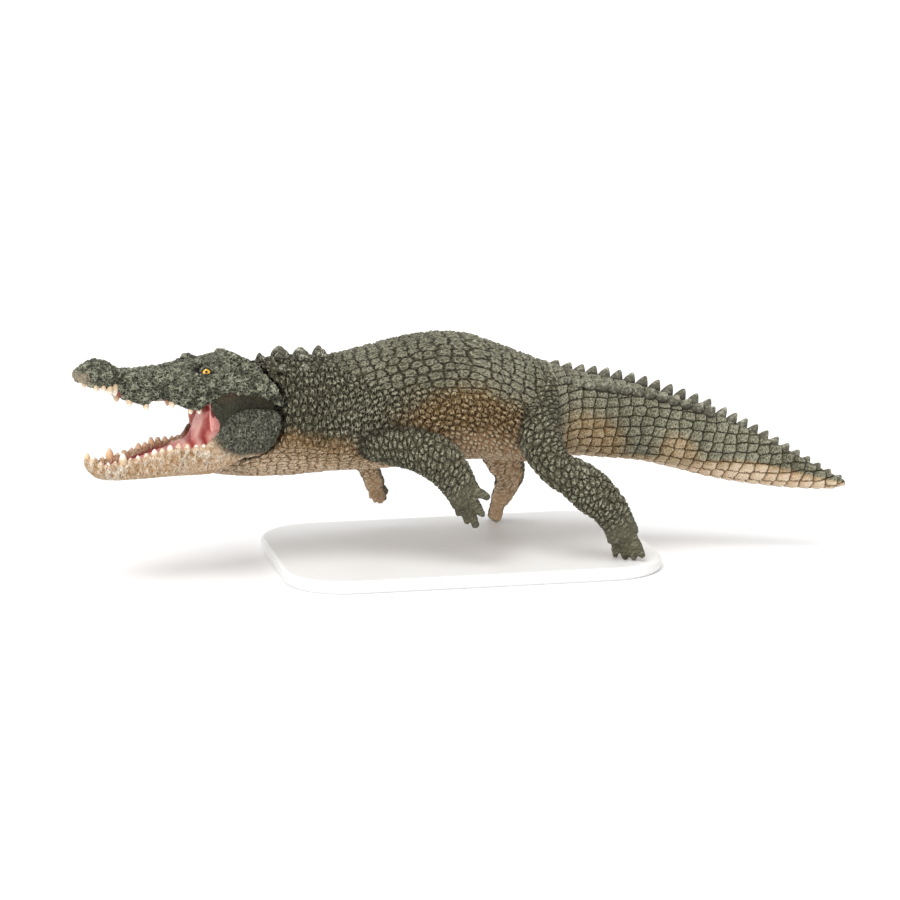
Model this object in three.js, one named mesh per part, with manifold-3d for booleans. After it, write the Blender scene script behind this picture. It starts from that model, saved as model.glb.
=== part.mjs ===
// A moulded toy saltwater crocodile with a hinged lower jaw, lunging off its hind toes on a flat base.
// Millimetres, +Z up. The floor is Z = 0; the tail points along +X and the animal's left side faces -Y.
import * as THREE from "three";
import { mergeVertices } from "three/addons/utils/BufferGeometryUtils.js";
import Module from "manifold-3d";

const wasm = await Module();
wasm.setup();

// ---------------------------------------------------------------- driving dimensions

const GAP = 0.3; // clearance between pieces that meet
const BASE = { x: 0, y: 0, length: 88, width: 60, corner: 14, thickness: 3, edge: 0.6 };
const FLOOR = BASE.thickness; // the level that the hind toes stand on

const HEAD_YAW = THREE.MathUtils.degToRad(11); // the head turns towards the animal's left
const HEAD_ROLL = THREE.MathUtils.degToRad(-4); // and leans away from that side
const HEAD_ORIGIN = new THREE.Vector3(-40, 0, 36); // the point at the neck that the head turns about

// The hinge of the lower jaw, in the head's frame: its axis runs across the head.
const HINGE = { x: -13.4, z: 35.3, disc: 7.6, core: 6.2, halfWidth: 9.2 };
const JAW_CLOSING = 24; // degrees from the open stop to the closed mouth

// Outlines in x and z of the inset cheek plates, and of the block between them that carries the hinge core.
const CHEEK = [
  [-22.2, 44.4], [-21.6, 39.4], [-19.4, 36.0], [-17.0, 31.0], [-8.0, 33.4], [-6.4, 40.0], [-8.4, 43.4],
];
const CHEEK_THICKNESS = 1.3;
const SKULL_BASE = [[-17.4, 44.2], [-17.4, 36.0], [-7.2, 36.0], [-6.8, 40.2], [-8.8, 43.0]];

// Trunk, neck and tail: x, top, underside, half-width, squareness and how much the section narrows upwards.
const BODY = [
  [-60, 41.0, 23.2, 8.5, 2.2, 0.0],
  [-52, 47.6, 22.1, 10.6, 2.2, 0.0],
  [-46, 49.2, 21.8, 11.8, 2.2, 0.0],
  [-38, 49.4, 22.2, 12.6, 2.3, 0.05],
  [-30, 49.2, 22.7, 13.6, 2.3, 0.05],
  [-22, 50.7, 22.8, 15.0, 2.3, 0.05],
  [-14, 52.4, 23.2, 16.0, 2.3, 0.05],
  [-6, 53.4, 23.8, 16.6, 2.3, 0.05],
  [2, 52.8, 24.2, 16.2, 2.3, 0.06],
  [10, 50.0, 23.4, 14.6, 2.3, 0.08],
  [18, 46.6, 22.9, 12.2, 2.4, 0.1],
  [26, 43.4, 24.2, 10.0, 2.6, 0.14],
  [34, 41.3, 23.6, 9.0, 2.8, 0.18],
  [42, 39.4, 22.6, 8.0, 2.8, 0.22],
  [50, 36.8, 20.5, 6.9, 2.7, 0.3],
  [58, 33.6, 18.2, 5.7, 2.6, 0.4],
  [66, 29.8, 16.5, 4.6, 2.4, 0.5],
  [74, 25.5, 15.5, 3.5, 2.3, 0.55],
  [82, 20.9, 15.0, 2.4, 2.2, 0.5],
  [87.0, 18.2, 15.1, 1.4, 2.0, 0.3],
  [89.8, 16.8, 15.8, 0.4, 2.0, 0.0],
];
// Keeled scutes on the nape, set on both sides: x, distance from the middle, half-length, half-width, height.
const NAPE_SCUTES = [
  [-46.2, 2.0, 1.0, 0.9, 0.9], [-41.9, 2.4, 2.0, 1.7, 2.1], [-42.6, 7.0, 1.4, 1.3, 1.0],
  [-37.0, 2.5, 1.9, 1.7, 1.8], [-37.4, 7.2, 1.6, 1.4, 1.3], [-32.9, 2.3, 1.6, 1.4, 2.0],
];
// The tail's crest: a double row that closes in, then a single row of upright fins.
const DOUBLE_CREST = { from: 26, step: 2.9, count: 12, apart: [5.4, 1.0], height: [1.3, 2.3] };
const SINGLE_CREST = { from: 60.8, step: 2.45, count: 12, halfWidth: [0.9, 0.45], height: [2.8, 1.0] };
const SCUTE_ROOT = 0.9; // how deep a scute's foot is sunk in the skin

// How far each section leans over, in degrees: the neck leans with the head, and the tail the other way.
const TWIST = [
  [-60, -4],
  [-36, -2],
  [-8, 0],
  [12, 2],
  [30, 8],
  [90, 8],
];
const TAIL_CURVE = { from: 15, length: 75, sweep: -12 }; // the tail bends towards the animal's left
const CUTS = { neck: -31, tailBase: 22, tailMiddle: 46, tailTip: 68 }; // where the lengths are parted

// Head, front to back: x, top, half-width of the top, height of the widest line, half-width there, lip,
// half-width at the lip, palate.
const HEAD = [
  [-50.5, 49.4, 0.8, 48.6, 1.6, 47.9, 1.0, 48.2],
  [-49.9, 50.3, 1.9, 48.5, 3.2, 47.0, 2.5, 48.0],
  [-48.7, 50.9, 2.8, 48.4, 4.6, 46.3, 3.9, 47.8],
  [-46.8, 51.5, 3.3, 48.4, 5.4, 46.0, 4.8, 47.6],
  [-44.8, 51.9, 3.3, 48.2, 5.6, 45.7, 5.0, 47.4],
  [-43.2, 51.3, 3.0, 48.0, 5.2, 45.5, 4.6, 47.0],
  [-42.2, 50.5, 2.7, 47.8, 4.4, 46.0, 3.8, 46.8],
  [-41.2, 49.8, 2.7, 47.0, 4.9, 43.0, 4.3, 46.2],
  [-39.8, 49.2, 2.9, 46.3, 5.7, 42.3, 5.1, 45.6],
  [-36.6, 49.0, 3.2, 45.6, 6.8, 41.0, 6.2, 45.0],
  [-33.6, 49.2, 3.5, 45.8, 7.3, 42.5, 6.8, 45.0],
  [-30.5, 49.4, 3.9, 45.7, 8.1, 41.6, 7.5, 45.0],
  [-27.5, 49.5, 4.3, 45.4, 9.0, 40.0, 8.5, 45.0],
  [-24.3, 49.7, 4.7, 45.2, 9.9, 39.5, 9.4, 45.0],
  [-21.6, 50.0, 5.1, 45.3, 10.6, 42.0, 10.4, 45.0],
  [-18.0, 50.8, 5.5, 45.4, 11.3, 42.9, 11.2, 44.4],
  [-14.2, 51.3, 5.8, 45.2, 11.9, 42.7, 11.8, 43.6],
  [-10.6, 50.2, 6.0, 44.6, 12.3, 41.9, 12.2, 42.3],
  [-8.2, 48.3, 5.6, 43.4, 12.3, 40.9, 12.1, 41.1],
  [-6.2, 45.4, 5.0, 42.2, 11.9, 39.7, 11.7, 40.0],
  [-4.9, 42.2, 4.4, 41.2, 11.0, 39.5, 10.8, 39.8],
];

// Lower jaw, front to back: x, rim, half-width of the rim, height of the widest line, half-width there,
// underside, half-width of the underside.
const JAW = [
  [-48.5, 29.2, 1.0, 28.4, 1.5, 27.4, 0.9],
  [-48.0, 29.1, 2.4, 27.8, 2.9, 26.3, 1.6],
  [-46.7, 28.3, 4.1, 27.0, 4.7, 25.1, 2.6],
  [-44.8, 28.1, 5.1, 26.8, 5.7, 24.5, 3.2],
  [-41.8, 28.5, 5.3, 26.9, 5.9, 24.2, 3.4],
  [-38.6, 29.0, 5.5, 27.2, 6.1, 24.2, 3.6],
  [-34.4, 29.9, 6.3, 27.4, 6.9, 24.2, 4.2],
  [-30.2, 30.9, 7.5, 27.8, 8.1, 24.3, 5.0],
  [-26.4, 30.9, 8.7, 28.2, 9.3, 24.3, 5.8],
  [-23.6, 31.2, 9.7, 28.8, 10.3, 24.3, 6.6],
  [-21.5, 33.6, 10.4, 29.6, 11.1, 24.5, 7.4],
  [-19.4, 36.0, 10.8, 31.2, 11.7, 25.1, 8.2],
  [-16.9, 38.2, 11.0, 33.0, 12.2, 26.6, 9.4],
  [-14.4, 39.1, 11.1, 34.4, 12.5, 27.8, 10.2],
  [-11.4, 39.1, 11.1, 35.0, 12.5, 27.95, 10.4],
  [-9.0, 38.8, 11.1, 35.2, 12.4, 29.1, 10.6],
  [-7.2, 38.5, 11.0, 35.3, 12.1, 30.9, 10.7],
  [-6.3, 38.0, 10.9, 35.4, 11.7, 32.9, 10.8],
  [-5.9, 36.9, 10.8, 35.5, 11.4, 34.6, 10.8],
];
// The hollow of the lower jaw: its walls and floor, where it starts, where the cheeks widen it, where its
// floor ends and how far about the hinge it reaches.
const TROUGH = { wall: 1.8, floor: 2.6, front: -46.9, cheek: -21, end: -16, back: 8.4 };

// Teeth, front to back: x, height, radius at the root. The same row is set on both sides.
const UPPER_TEETH = [
  [-50.1, 1.2, 0.5], [-48.9, 0.9, 0.45], [-47.5, 1.1, 0.5], [-46.0, 0.8, 0.45], [-44.3, 2.1, 0.75],
  [-42.9, 1.5, 0.6], [-40.1, 1.5, 0.65], [-36.2, 1.4, 0.7], [-33.4, 0.8, 0.5], [-30.5, 1.7, 0.7],
  [-26.6, 1.0, 0.55], [-24.6, 0.9, 0.5],
];
const LOWER_TEETH = [
  [-47.9, 1.7, 0.6], [-46.6, 1.1, 0.55], [-45.1, 1.0, 0.5], [-43.5, 0.9, 0.5], [-41.7, 1.9, 0.8],
  [-39.9, 0.9, 0.5], [-38.2, 1.2, 0.6], [-36.3, 1.0, 0.55], [-34.5, 1.4, 0.65], [-32.8, 1.2, 0.6],
  [-31.1, 1.6, 0.65], [-29.3, 1.4, 0.6], [-27.4, 1.2, 0.6], [-25.5, 1.0, 0.5], [-23.9, 0.9, 0.5],
];
const TOOTH_ROOT = 0.8; // how deep a tooth stands in the gum

// Tongue and mouth floor, front to back: x, top, half-width, underside.
const TONGUE = [
  [-46.0, 27.2, 1.6, 26.4],
  [-43.0, 27.7, 2.8, 26.2],
  [-39.0, 28.1, 3.0, 26.2],
  [-35.0, 29.0, 4.3, 26.3],
  [-31.0, 30.0, 5.4, 26.4],
  [-28.0, 30.9, 6.2, 26.5],
  [-26.0, 32.4, 6.7, 26.5],
  [-24.2, 34.8, 7.0, 26.5],
  [-22.6, 37.9, 7.1, 26.5],
  [-20.8, 40.0, 7.1, 26.5],
  [-17.5, 40.6, 7.1, 26.5],
];

const EYE = { x: -21.9, y: 6.6, z: 47.6, radius: 1.7 };
const BROW = { x: -21.6, y: 4.4, z: 49.3, length: 5.0, width: 2.6, height: 2.6 };
const NOSTRIL = { x: -46.0, y: 1.8, z: 51.1, length: 2.6, width: 1.7, height: 1.5 };

// Limbs: points of the centreline as x, y, z, with the section's two radii. Each row ends at the toe roots.
const LIMBS = {
  front_left: {
    spine: [
      [-25, -8, 32.5, 6.2, 5.4], [-20, -12.5, 32.0, 6.2, 5.0], [-12.6, -17.0, 29.9, 5.3, 4.4],
      [-8.1, -19.5, 27.2, 5.0, 4.1],
      [-5.2, -20.5, 23.4, 4.2, 3.5], [-3.4, -20.8, 20.2, 3.9, 2.6], [-2.5, -20.8, 18.6, 3.9, 2.0],
    ],
    joints: [2.7, 4.5],
    up: [1, 0.1, 0.4],
    toes: [
      [[-1.0, -22.4, 21.4], [2.2, -23.6, 19.8], 1.25], [[-1.2, -21.8, 19.8], [1.6, -22.7, 16.8], 1.35],
      [[-1.8, -21.0, 18.6], [0.8, -21.6, 14.0], 1.35], [[-2.6, -20.2, 17.8], [-0.1, -20.2, 11.9], 1.3],
      [[-3.8, -19.4, 17.8], [-2.8, -18.6, 13.6], 1.1],
    ],
  },
  front_right: {
    spine: [
      [-25, 8, 32.5, 6.2, 5.4], [-22.5, 12.0, 27.5, 5.4, 4.6], [-19.8, 14.4, 22.6, 3.6, 3.6],
      [-18.2, 16.2, 18.6, 2.5, 2.7],
      [-17.0, 17.4, 15.8, 2.4, 2.2], [-16.4, 17.8, 14.2, 2.5, 1.9],
    ],
    joints: [1.9, 3.6],
    up: [1, 0.3, 0.3],
    toes: [
      [[-15.2, 18.8, 14.0], [-13.2, 20.0, 11.6], 0.95], [[-15.6, 18.2, 13.6], [-14.0, 18.9, 10.2], 1.0],
      [[-16.2, 17.8, 13.2], [-15.1, 17.9, 9.7], 1.0], [[-16.8, 17.2, 13.4], [-16.5, 16.7, 10.2], 0.95],
      [[-17.4, 16.6, 14.0], [-18.0, 15.4, 11.6], 0.85],
    ],
  },
  hind_left: {
    spine: [
      [17.0, -5.0, 39.5, 6.6, 6.0], [16.4, -11.0, 35.0, 6.4, 5.4], [16.4, -16.0, 29.6, 6.0, 4.8],
      [18.4, -19.4, 24.2, 4.9, 4.4],
      [23.0, -20.5, 21.6, 4.9, 4.5], [27.0, -21.0, 18.6, 4.9, 4.2], [30.3, -21.6, 15.4, 4.2, 3.6],
      [32.6, -22.1, 11.6, 3.8, 2.6],
      [33.8, -22.4, 8.6, 3.9, 2.0],
    ],
    joints: [3.1, 5.9],
    up: [1, 0, 0.8],
    toes: [
      [[35.8, -23.6, 8.6], [37.8, -24.8, FLOOR], 1.2], [[34.7, -22.8, 8.2], [36.0, -23.3, FLOOR], 1.3],
      [[33.5, -22.2, 8.0], [34.3, -22.0, FLOOR], 1.3], [[32.2, -21.4, 8.2], [32.7, -20.6, FLOOR], 1.15],
    ],
  },
  hind_right: {
    spine: [
      [15.0, 5.0, 36.0, 6.4, 6.0], [12.0, 9.6, 28.5, 6.0, 5.4], [13.6, 14.2, 21.0, 4.8, 4.4],
      [16.0, 17.8, 15.6, 3.5, 3.2],
      [15.7, 20.2, 11.6, 2.8, 2.5], [14.5, 21.6, 8.2, 2.3, 1.9],
    ],
    joints: [2.2, 3.7],
    up: [1, -0.2, 0.2],
    toes: [
      [[15.6, 21.0, 7.6], [16.5, 20.6, FLOOR], 0.95], [[14.8, 21.6, 7.2], [15.1, 22.0, FLOOR], 1.05],
      [[14.0, 22.2, 7.2], [13.7, 23.2, FLOOR], 1.05], [[13.3, 22.6, 7.6], [12.3, 24.2, FLOOR], 0.9],
    ],
  },
};

// ---------------------------------------------------------------- shapes

// Values of a table at x, by a smooth curve through its rows.
function smoothAt(table, x) {
  const last = table.length - 1;
  let i = 0;
  while (i < last - 1 && x > table[i + 1][0]) i++;
  const a = table[i];
  const b = table[i + 1];
  const t = THREE.MathUtils.clamp((x - a[0]) / (b[0] - a[0]), 0, 1);
  const before = table[Math.max(i - 1, 0)];
  const after = table[Math.min(i + 2, last)];
  return a.slice(1).map((value, k) => {
    const c = k + 1;
    const slopeA = ((b[c] - before[c]) / (b[0] - before[0])) * (b[0] - a[0]);
    const slopeB = ((after[c] - a[c]) / (after[0] - a[0])) * (b[0] - a[0]);
    const t2 = t * t;
    const t3 = t2 * t;
    return (2 * t3 - 3 * t2 + 1) * value + (t3 - 2 * t2 + t) * slopeA
      + (3 * t2 - 2 * t3) * b[c] + (t3 - t2) * slopeB;
  });
}

// A solid from a closed BufferGeometry.
function toSolid(geometry) {
  const bare = geometry.index ? geometry.toNonIndexed() : geometry.clone();
  const positions = new THREE.BufferGeometry().setAttribute("position", bare.getAttribute("position"));
  const merged = mergeVertices(positions, 1e-4);
  return new wasm.Manifold(new wasm.Mesh({
    numProp: 3,
    vertProperties: merged.attributes.position.array,
    triVerts: new Uint32Array(merged.index.array),
  }));
}

function toGeometry(solid) {
  const mesh = solid.getMesh();
  return new THREE.BufferGeometry()
    .setAttribute("position", new THREE.BufferAttribute(new Float32Array(mesh.vertProperties), 3))
    .setIndex(new THREE.BufferAttribute(new Uint32Array(mesh.triVerts), 1));
}

// Every second pair of each triangle's corners swapped, so that the faces point the other way.
const flipped = (faces) => faces.map((_, i) => faces[i - (i % 3) + [0, 2, 1][i % 3]]);

// A solid from points and triangles, whichever way round the triangles run.
function solidOf(points, faces) {
  const build = (order) => toSolid(new THREE.BufferGeometry().setFromPoints(points).setIndex(order));
  const solid = build(faces);
  return solid.volume() > 0 ? solid : build(flipped(faces));
}

// A closed skin over rings of equal count, with a fan at each end.
function loft(rings) {
  const count = rings[0].length;
  const points = rings.flat();
  const faces = [];
  for (let r = 0; r + 1 < rings.length; r++) {
    for (let k = 0; k < count; k++) {
      const a = r * count + k;
      const b = r * count + ((k + 1) % count);
      faces.push(a, b, a + count, b, b + count, a + count);
    }
  }
  for (const end of [0, rings.length - 1]) {
    const centre = rings[end].reduce((sum, p) => sum.add(p), new THREE.Vector3()).divideScalar(count);
    points.push(centre);
    for (let k = 0; k < count; k++) {
      const a = end * count + k;
      const b = end * count + ((k + 1) % count);
      faces.push(...(end ? [a, b, points.length - 1] : [b, a, points.length - 1]));
    }
  }
  return solidOf(points, faces);
}

// A low keeled scute: a diamond foot sunk in the skin, rising to a short ridge that leans back.
function scute(foot, { halfLength, halfWidth, height, lean, roll }) {
  const turn = new THREE.Matrix4().makeRotationX(roll).setPosition(foot);
  const ridge = 0.3 * halfLength;
  const corners = [
    [-halfLength, 0, -SCUTE_ROOT], [0, halfWidth, -SCUTE_ROOT], [halfLength, 0, -SCUTE_ROOT],
    [0, -halfWidth, -SCUTE_ROOT], [lean - ridge, 0, height], [lean + ridge, 0, 0.9 * height],
  ];
  const points = corners.map((corner) => new THREE.Vector3(...corner).applyMatrix4(turn));
  return solidOf(points, [0, 1, 4, 1, 5, 4, 1, 2, 5, 2, 3, 5, 3, 4, 5, 3, 0, 4, 0, 2, 1, 0, 3, 2]);
}

// A tooth: a cone of four sides rooted in the gum, pointing up or down.
function tooth(x, y, z, height, radius, direction, splay) {
  const cone = new THREE.ConeGeometry(radius, height + TOOTH_ROOT, 4);
  cone.rotateX((direction * Math.PI) / 2);
  cone.translate(0, 0, (direction * (height - TOOTH_ROOT)) / 2);
  cone.rotateX(splay);
  return toSolid(cone.translate(x, y, z));
}

// A tube of oval section along a smooth curve, with rounded ends.
// Rows hold x, y, z and the section's two radii, the first of them on the side of the direction up.
function limbTube(rows, up, sides = 8, stepsPerSpan = 2) {
  const points = rows.map((row) => new THREE.Vector3(...row.slice(0, 3)));
  const curve = new THREE.CatmullRomCurve3(points, false, "centripetal");
  const spans = rows.length - 1;
  const radii = rows.map((row, i) => [i, row[3], row[4]]);
  const ring = (t, scale, shift) => {
    const along = curve.getTangent(t / spans);
    const wide = new THREE.Vector3(...up);
    wide.addScaledVector(along, -along.dot(wide)).normalize();
    const deep = new THREE.Vector3().crossVectors(along, wide);
    const [a, b] = smoothAt(radii, t);
    const centre = curve.getPoint(t / spans).addScaledVector(along, shift * b);
    return Array.from({ length: sides }, (_, k) => {
      const angle = (2 * Math.PI * k) / sides;
      return centre.clone()
        .addScaledVector(wide, a * scale * Math.cos(angle))
        .addScaledVector(deep, b * scale * Math.sin(angle));
    });
  };
  const along = Array.from({ length: spans * stepsPerSpan + 1 }, (_, i) => ring(i / stepsPerSpan, 1, 0));
  return loft([ring(0, 0.6, -0.45), ...along, ring(spans, 0.6, 0.45)]);
}

// ---------------------------------------------------------------- trunk, neck and tail

function spineY(x) {
  const t = Math.max(0, (x - TAIL_CURVE.from) / TAIL_CURVE.length);
  return TAIL_CURVE.sweep * t * t;
}

// A point of a section, given across and up from the section's centre, leaned over with the body there.
function onSection(x, across, up) {
  const [top, under] = smoothAt(BODY, x);
  const lean = THREE.MathUtils.degToRad(smoothAt(TWIST, x)[0]);
  const middle = (top + under) / 2;
  return new THREE.Vector3(x, spineY(x) + across * Math.cos(lean) - (up - middle) * Math.sin(lean),
    middle + (up - middle) * Math.cos(lean) + across * Math.sin(lean));
}

function bodyRing(x, grow, sides) {
  const [top, under, halfWidth, squareness, taper] = smoothAt(BODY, x);
  const middle = under + (top - under) * 0.46;
  return Array.from({ length: sides }, (_, k) => {
    const angle = (2 * Math.PI * k) / sides;
    const bend = (v) => Math.sign(v) * Math.abs(v) ** (2 / squareness);
    const rise = bend(Math.sin(angle));
    const narrowing = 1 - taper * Math.max(0, rise);
    const height = rise > 0 ? top - middle + grow : middle - under + grow;
    return onSection(x, bend(Math.cos(angle)) * (halfWidth + grow) * narrowing, middle + rise * height);
  });
}

function bodyLoft(grow) {
  const sides = 16;
  const stations = BODY.flatMap(([x], i) => (x < CUTS.tailBase ? [x, (x + BODY[i + 1][0]) / 2] : [x]));
  return loft(stations.map((x) => bodyRing(x, grow, sides)));
}

// A scute on the back, a little sunk below the top line.
function scuteOnBody(x, across, sink, { roll = 0, ...shape }) {
  const foot = onSection(x, across, smoothAt(BODY, x)[0] - sink);
  return scute(foot, { ...shape, roll: roll + THREE.MathUtils.degToRad(smoothAt(TWIST, x)[0]) });
}

function crest() {
  const mix = ([first, last], i, count) => THREE.MathUtils.lerp(first, last, i / (count - 1));
  const fins = [];
  for (let i = 0; i < DOUBLE_CREST.count; i++) {
    const { from, step, count } = DOUBLE_CREST;
    const apart = mix(DOUBLE_CREST.apart, i, count);
    const height = mix(DOUBLE_CREST.height, i, count);
    for (const side of [-1, 1]) {
      const shape = { halfLength: 1.7, halfWidth: 1.0, height, lean: 0.6, roll: side * -0.2 };
      fins.push(scuteOnBody(from + i * step, side * apart, 0.3 + apart * 0.14, shape));
    }
  }
  for (let i = 0; i < SINGLE_CREST.count; i++) {
    const { from, step, count } = SINGLE_CREST;
    const halfWidth = mix(SINGLE_CREST.halfWidth, i, count);
    const height = mix(SINGLE_CREST.height, i, count);
    fins.push(scuteOnBody(from + i * step, 0, 0.3, { halfLength: 1.7, halfWidth, height, lean: 1.1 }));
  }
  return fins;
}

function napeShield() {
  return NAPE_SCUTES.flatMap(([x, y, halfLength, halfWidth, height]) =>
    [-1, 1].map((side) => {
      const shape = { halfLength, halfWidth, height, lean: 0.2, roll: side * -0.06 * y };
      return scuteOnBody(x, side * y, 0.05 + 0.04 * y * y, shape);
    }));
}

const joined = (parts) => parts.reduce((whole, part) => whole.add(part));
const wholeBody = joined([bodyLoft(0), ...crest(), ...napeShield()]);
const grownBody = bodyLoft(GAP);

function between(solid, from, to) {
  return solid.trimByPlane([1, 0, 0], from + GAP / 2).trimByPlane([-1, 0, 0], -(to - GAP / 2));
}

// ---------------------------------------------------------------- head and lower jaw

const headTurn = new THREE.Euler(HEAD_ROLL, 0, HEAD_YAW, "ZYX");
const headToWorld = new THREE.Matrix4().makeRotationFromEuler(headTurn).setPosition(HEAD_ORIGIN)
  .multiply(new THREE.Matrix4().makeTranslation(0, 0, -HEAD_ORIGIN.z));
const inWorld = (solid) => solid.transform(headToWorld.elements);

// A ring across the head from its near half, whose first and last points lie on the middle.
function mirroredRing(x, half) {
  const ring = half.map(([y, z]) => new THREE.Vector3(x, y, z));
  const far = ring.slice(1, -1).reverse().map((p) => new THREE.Vector3(x, -p.y, p.z));
  return [...ring, ...far];
}

function headShell(grow) {
  return loft(HEAD.map(([x, top, topWidth, middle, width, lip, lipWidth, palate]) => {
    const shoulder = (middle + top) / 2;
    return mirroredRing(x, [
      [0, palate - grow],
      [lipWidth * 0.55, palate - 0.3 - grow],
      [lipWidth * 0.84, lip + 0.35 - grow],
      [lipWidth + grow, lip - grow],
      [(width * 2 + lipWidth) / 3 + grow, (lip + middle) / 2],
      [width + grow, middle],
      [(width + topWidth) / 2 + 0.7 + grow, shoulder + 0.5 + grow],
      [topWidth + grow, top - 0.5 + grow],
      [topWidth * 0.45, top + grow],
      [0, top - 0.1 + grow],
    ]);
  }));
}

function ellipsoid({ x, y, z, length, width, height }, side) {
  const ball = new THREE.SphereGeometry(1, 8, 6);
  return toSolid(ball.scale(length / 2, width / 2, height / 2).translate(x, side * y, z));
}

// A cylinder across the head about the hinge axis.
function hingeCylinder(radius, halfWidth, sides = 24) {
  const drum = new THREE.CylinderGeometry(radius, radius, 2 * halfWidth, sides);
  return toSolid(drum.translate(HINGE.x, 0, HINGE.z));
}

// A plate across the head, cut to an outline of x and z.
function plate(outline, from, to) {
  const shape = new THREE.Shape(outline.map(([x, z]) => new THREE.Vector2(x, z)));
  const slab = new THREE.ExtrudeGeometry(shape, { depth: to - from, bevelEnabled: false });
  return toSolid(slab.rotateX(Math.PI / 2).translate(0, to, 0));
}

// The inset cheeks that the jaw's side plates slide over, and the hinge core between them.
function cheeks() {
  const { halfWidth, core } = HINGE;
  const inner = halfWidth - CHEEK_THICKNESS;
  return [
    plate(CHEEK, -halfWidth, -inner), plate(CHEEK, inner, halfWidth),
    plate(SKULL_BASE, -halfWidth, halfWidth), hingeCylinder(core, halfWidth),
  ];
}

function upperTeeth() {
  return UPPER_TEETH.flatMap(([x, height, radius]) => {
    const [, , , , lip, lipWidth] = smoothAt(HEAD, x);
    const y = lipWidth * 0.93 - 0.1;
    return [-1, 1].map((side) => tooth(x, side * y, lip + 0.2, height, radius, -1, side * 0.12));
  });
}

function jawShell(grow) {
  return loft(JAW.map(([x, rim, rimWidth, middle, width, under, underWidth]) =>
    mirroredRing(x, [
      [0, rim + grow],
      [rimWidth * 0.5, rim + grow],
      [rimWidth + grow, rim + grow],
      [(rimWidth + width) / 2 + 0.25 + grow, (rim + middle) / 2],
      [width + grow, middle],
      [width * 0.62 + underWidth * 0.38 + grow, (middle + under * 2) / 3],
      [underWidth + grow, under + 0.35 - grow],
      [underWidth * 0.5, under - grow],
      [0, under - grow],
    ])));
}

// The hollow between the jaw's walls, open upwards, from behind the front teeth to the hinge.
function trough() {
  const between = JAW.filter(([x]) => x >= TROUGH.front && x < TROUGH.end);
  const rings = between.map(([x, rim, rimWidth, , width, under]) => {
    const deep = under + TROUGH.floor;
    const clear = HINGE.halfWidth + GAP;
    const half = x > TROUGH.cheek ? clear : Math.min(rimWidth - TROUGH.wall * 0.72, width - TROUGH.wall);
    const open = rim + 8;
    const edge = [[half, open], [half, deep + 1.4], [half * 0.75, deep]];
    return mirroredRing(x, [[0, open], ...edge, [0, deep - 0.2]]);
  });
  return loft(rings).add(hingeCylinder(TROUGH.back, HINGE.halfWidth + GAP));
}

function lowerTeeth() {
  return LOWER_TEETH.flatMap(([x, height, radius]) => {
    const [rim, rimWidth] = smoothAt(JAW, x);
    const y = rimWidth - 0.5;
    return [-1, 1].map((side) => tooth(x, side * y, rim - 0.2, height + 0.2, radius, 1, side * -0.1));
  });
}

function tongueShell(grow) {
  return loft(TONGUE.map(([x, top, width, under]) =>
    mirroredRing(x, [
      [0, top + grow],
      [width * 0.55, top - 0.1 + grow],
      [width * 0.92 + grow, top - 0.8 + grow],
      [width + grow, (top + under) / 2],
      [width * 0.94 + grow, under + 0.7],
      [width * 0.6, under - grow],
      [0, under - grow],
    ])));
}

// A solid turned about the hinge, by degrees that close the mouth.
function closedBy(solid, degrees) {
  const turn = new THREE.Matrix4().makeTranslation(HINGE.x, 0, HINGE.z)
    .multiply(new THREE.Matrix4().makeRotationY(THREE.MathUtils.degToRad(degrees)))
    .multiply(new THREE.Matrix4().makeTranslation(-HINGE.x, 0, -HINGE.z));
  return solid.transform(turn.elements);
}

// The jaw's walls and floor with a gap round them, which the tongue lies clear of.
function grownJaw() {
  const shifts = [[0, 0, GAP], [0, GAP, GAP], [0, -GAP, GAP]].map((shift) => trough().translate(shift));
  return jawShell(0).subtract(shifts[0].intersect(shifts[1]).intersect(shifts[2]));
}

const jawBlank = jawShell(0).subtract(trough());
const jawSolid = joined([jawBlank, ...lowerTeeth()]);
const tongueRoot = hingeCylinder(HINGE.core + 0.5, HINGE.halfWidth + 1);
const tongueSolid = tongueShell(0).subtract(tongueRoot).subtract(grownJaw());

// The room that the tongue takes up on its way to the closed mouth.
const sweep = [0, 1 / 3, 2 / 3, 1].map((share) => share * (JAW_CLOSING + 0.6));
const tongueSweep = joined(sweep.map((angle) => closedBy(tongueShell(GAP), angle)));

const bumps = [-1, 1].flatMap((side) => [ellipsoid(BROW, side), ellipsoid(NOSTRIL, side)]);
const headBlank = joined([headShell(0), ...bumps, ...cheeks()]);

function eyeBall(side, grow) {
  const ball = new THREE.SphereGeometry(EYE.radius + grow, 10, 6);
  return toSolid(ball.translate(EYE.x, side * EYE.y, EYE.z));
}

const eyeSockets = joined([-1, 1].map((side) => eyeBall(side, GAP)));
const headSolid = joined([headBlank, ...upperTeeth()]).subtract(tongueSweep).subtract(eyeSockets);

// What the neck leaves free: the head, and the round seat of the jaw's discs.
const neckRoom = inWorld(joined([
  headShell(GAP), ...cheeks(), hingeCylinder(HINGE.core + GAP, HINGE.halfWidth + GAP),
  hingeCylinder(HINGE.disc + 1.5 * GAP, 16), jawShell(GAP), tongueShell(GAP),
]));

// ---------------------------------------------------------------- limbs

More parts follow.
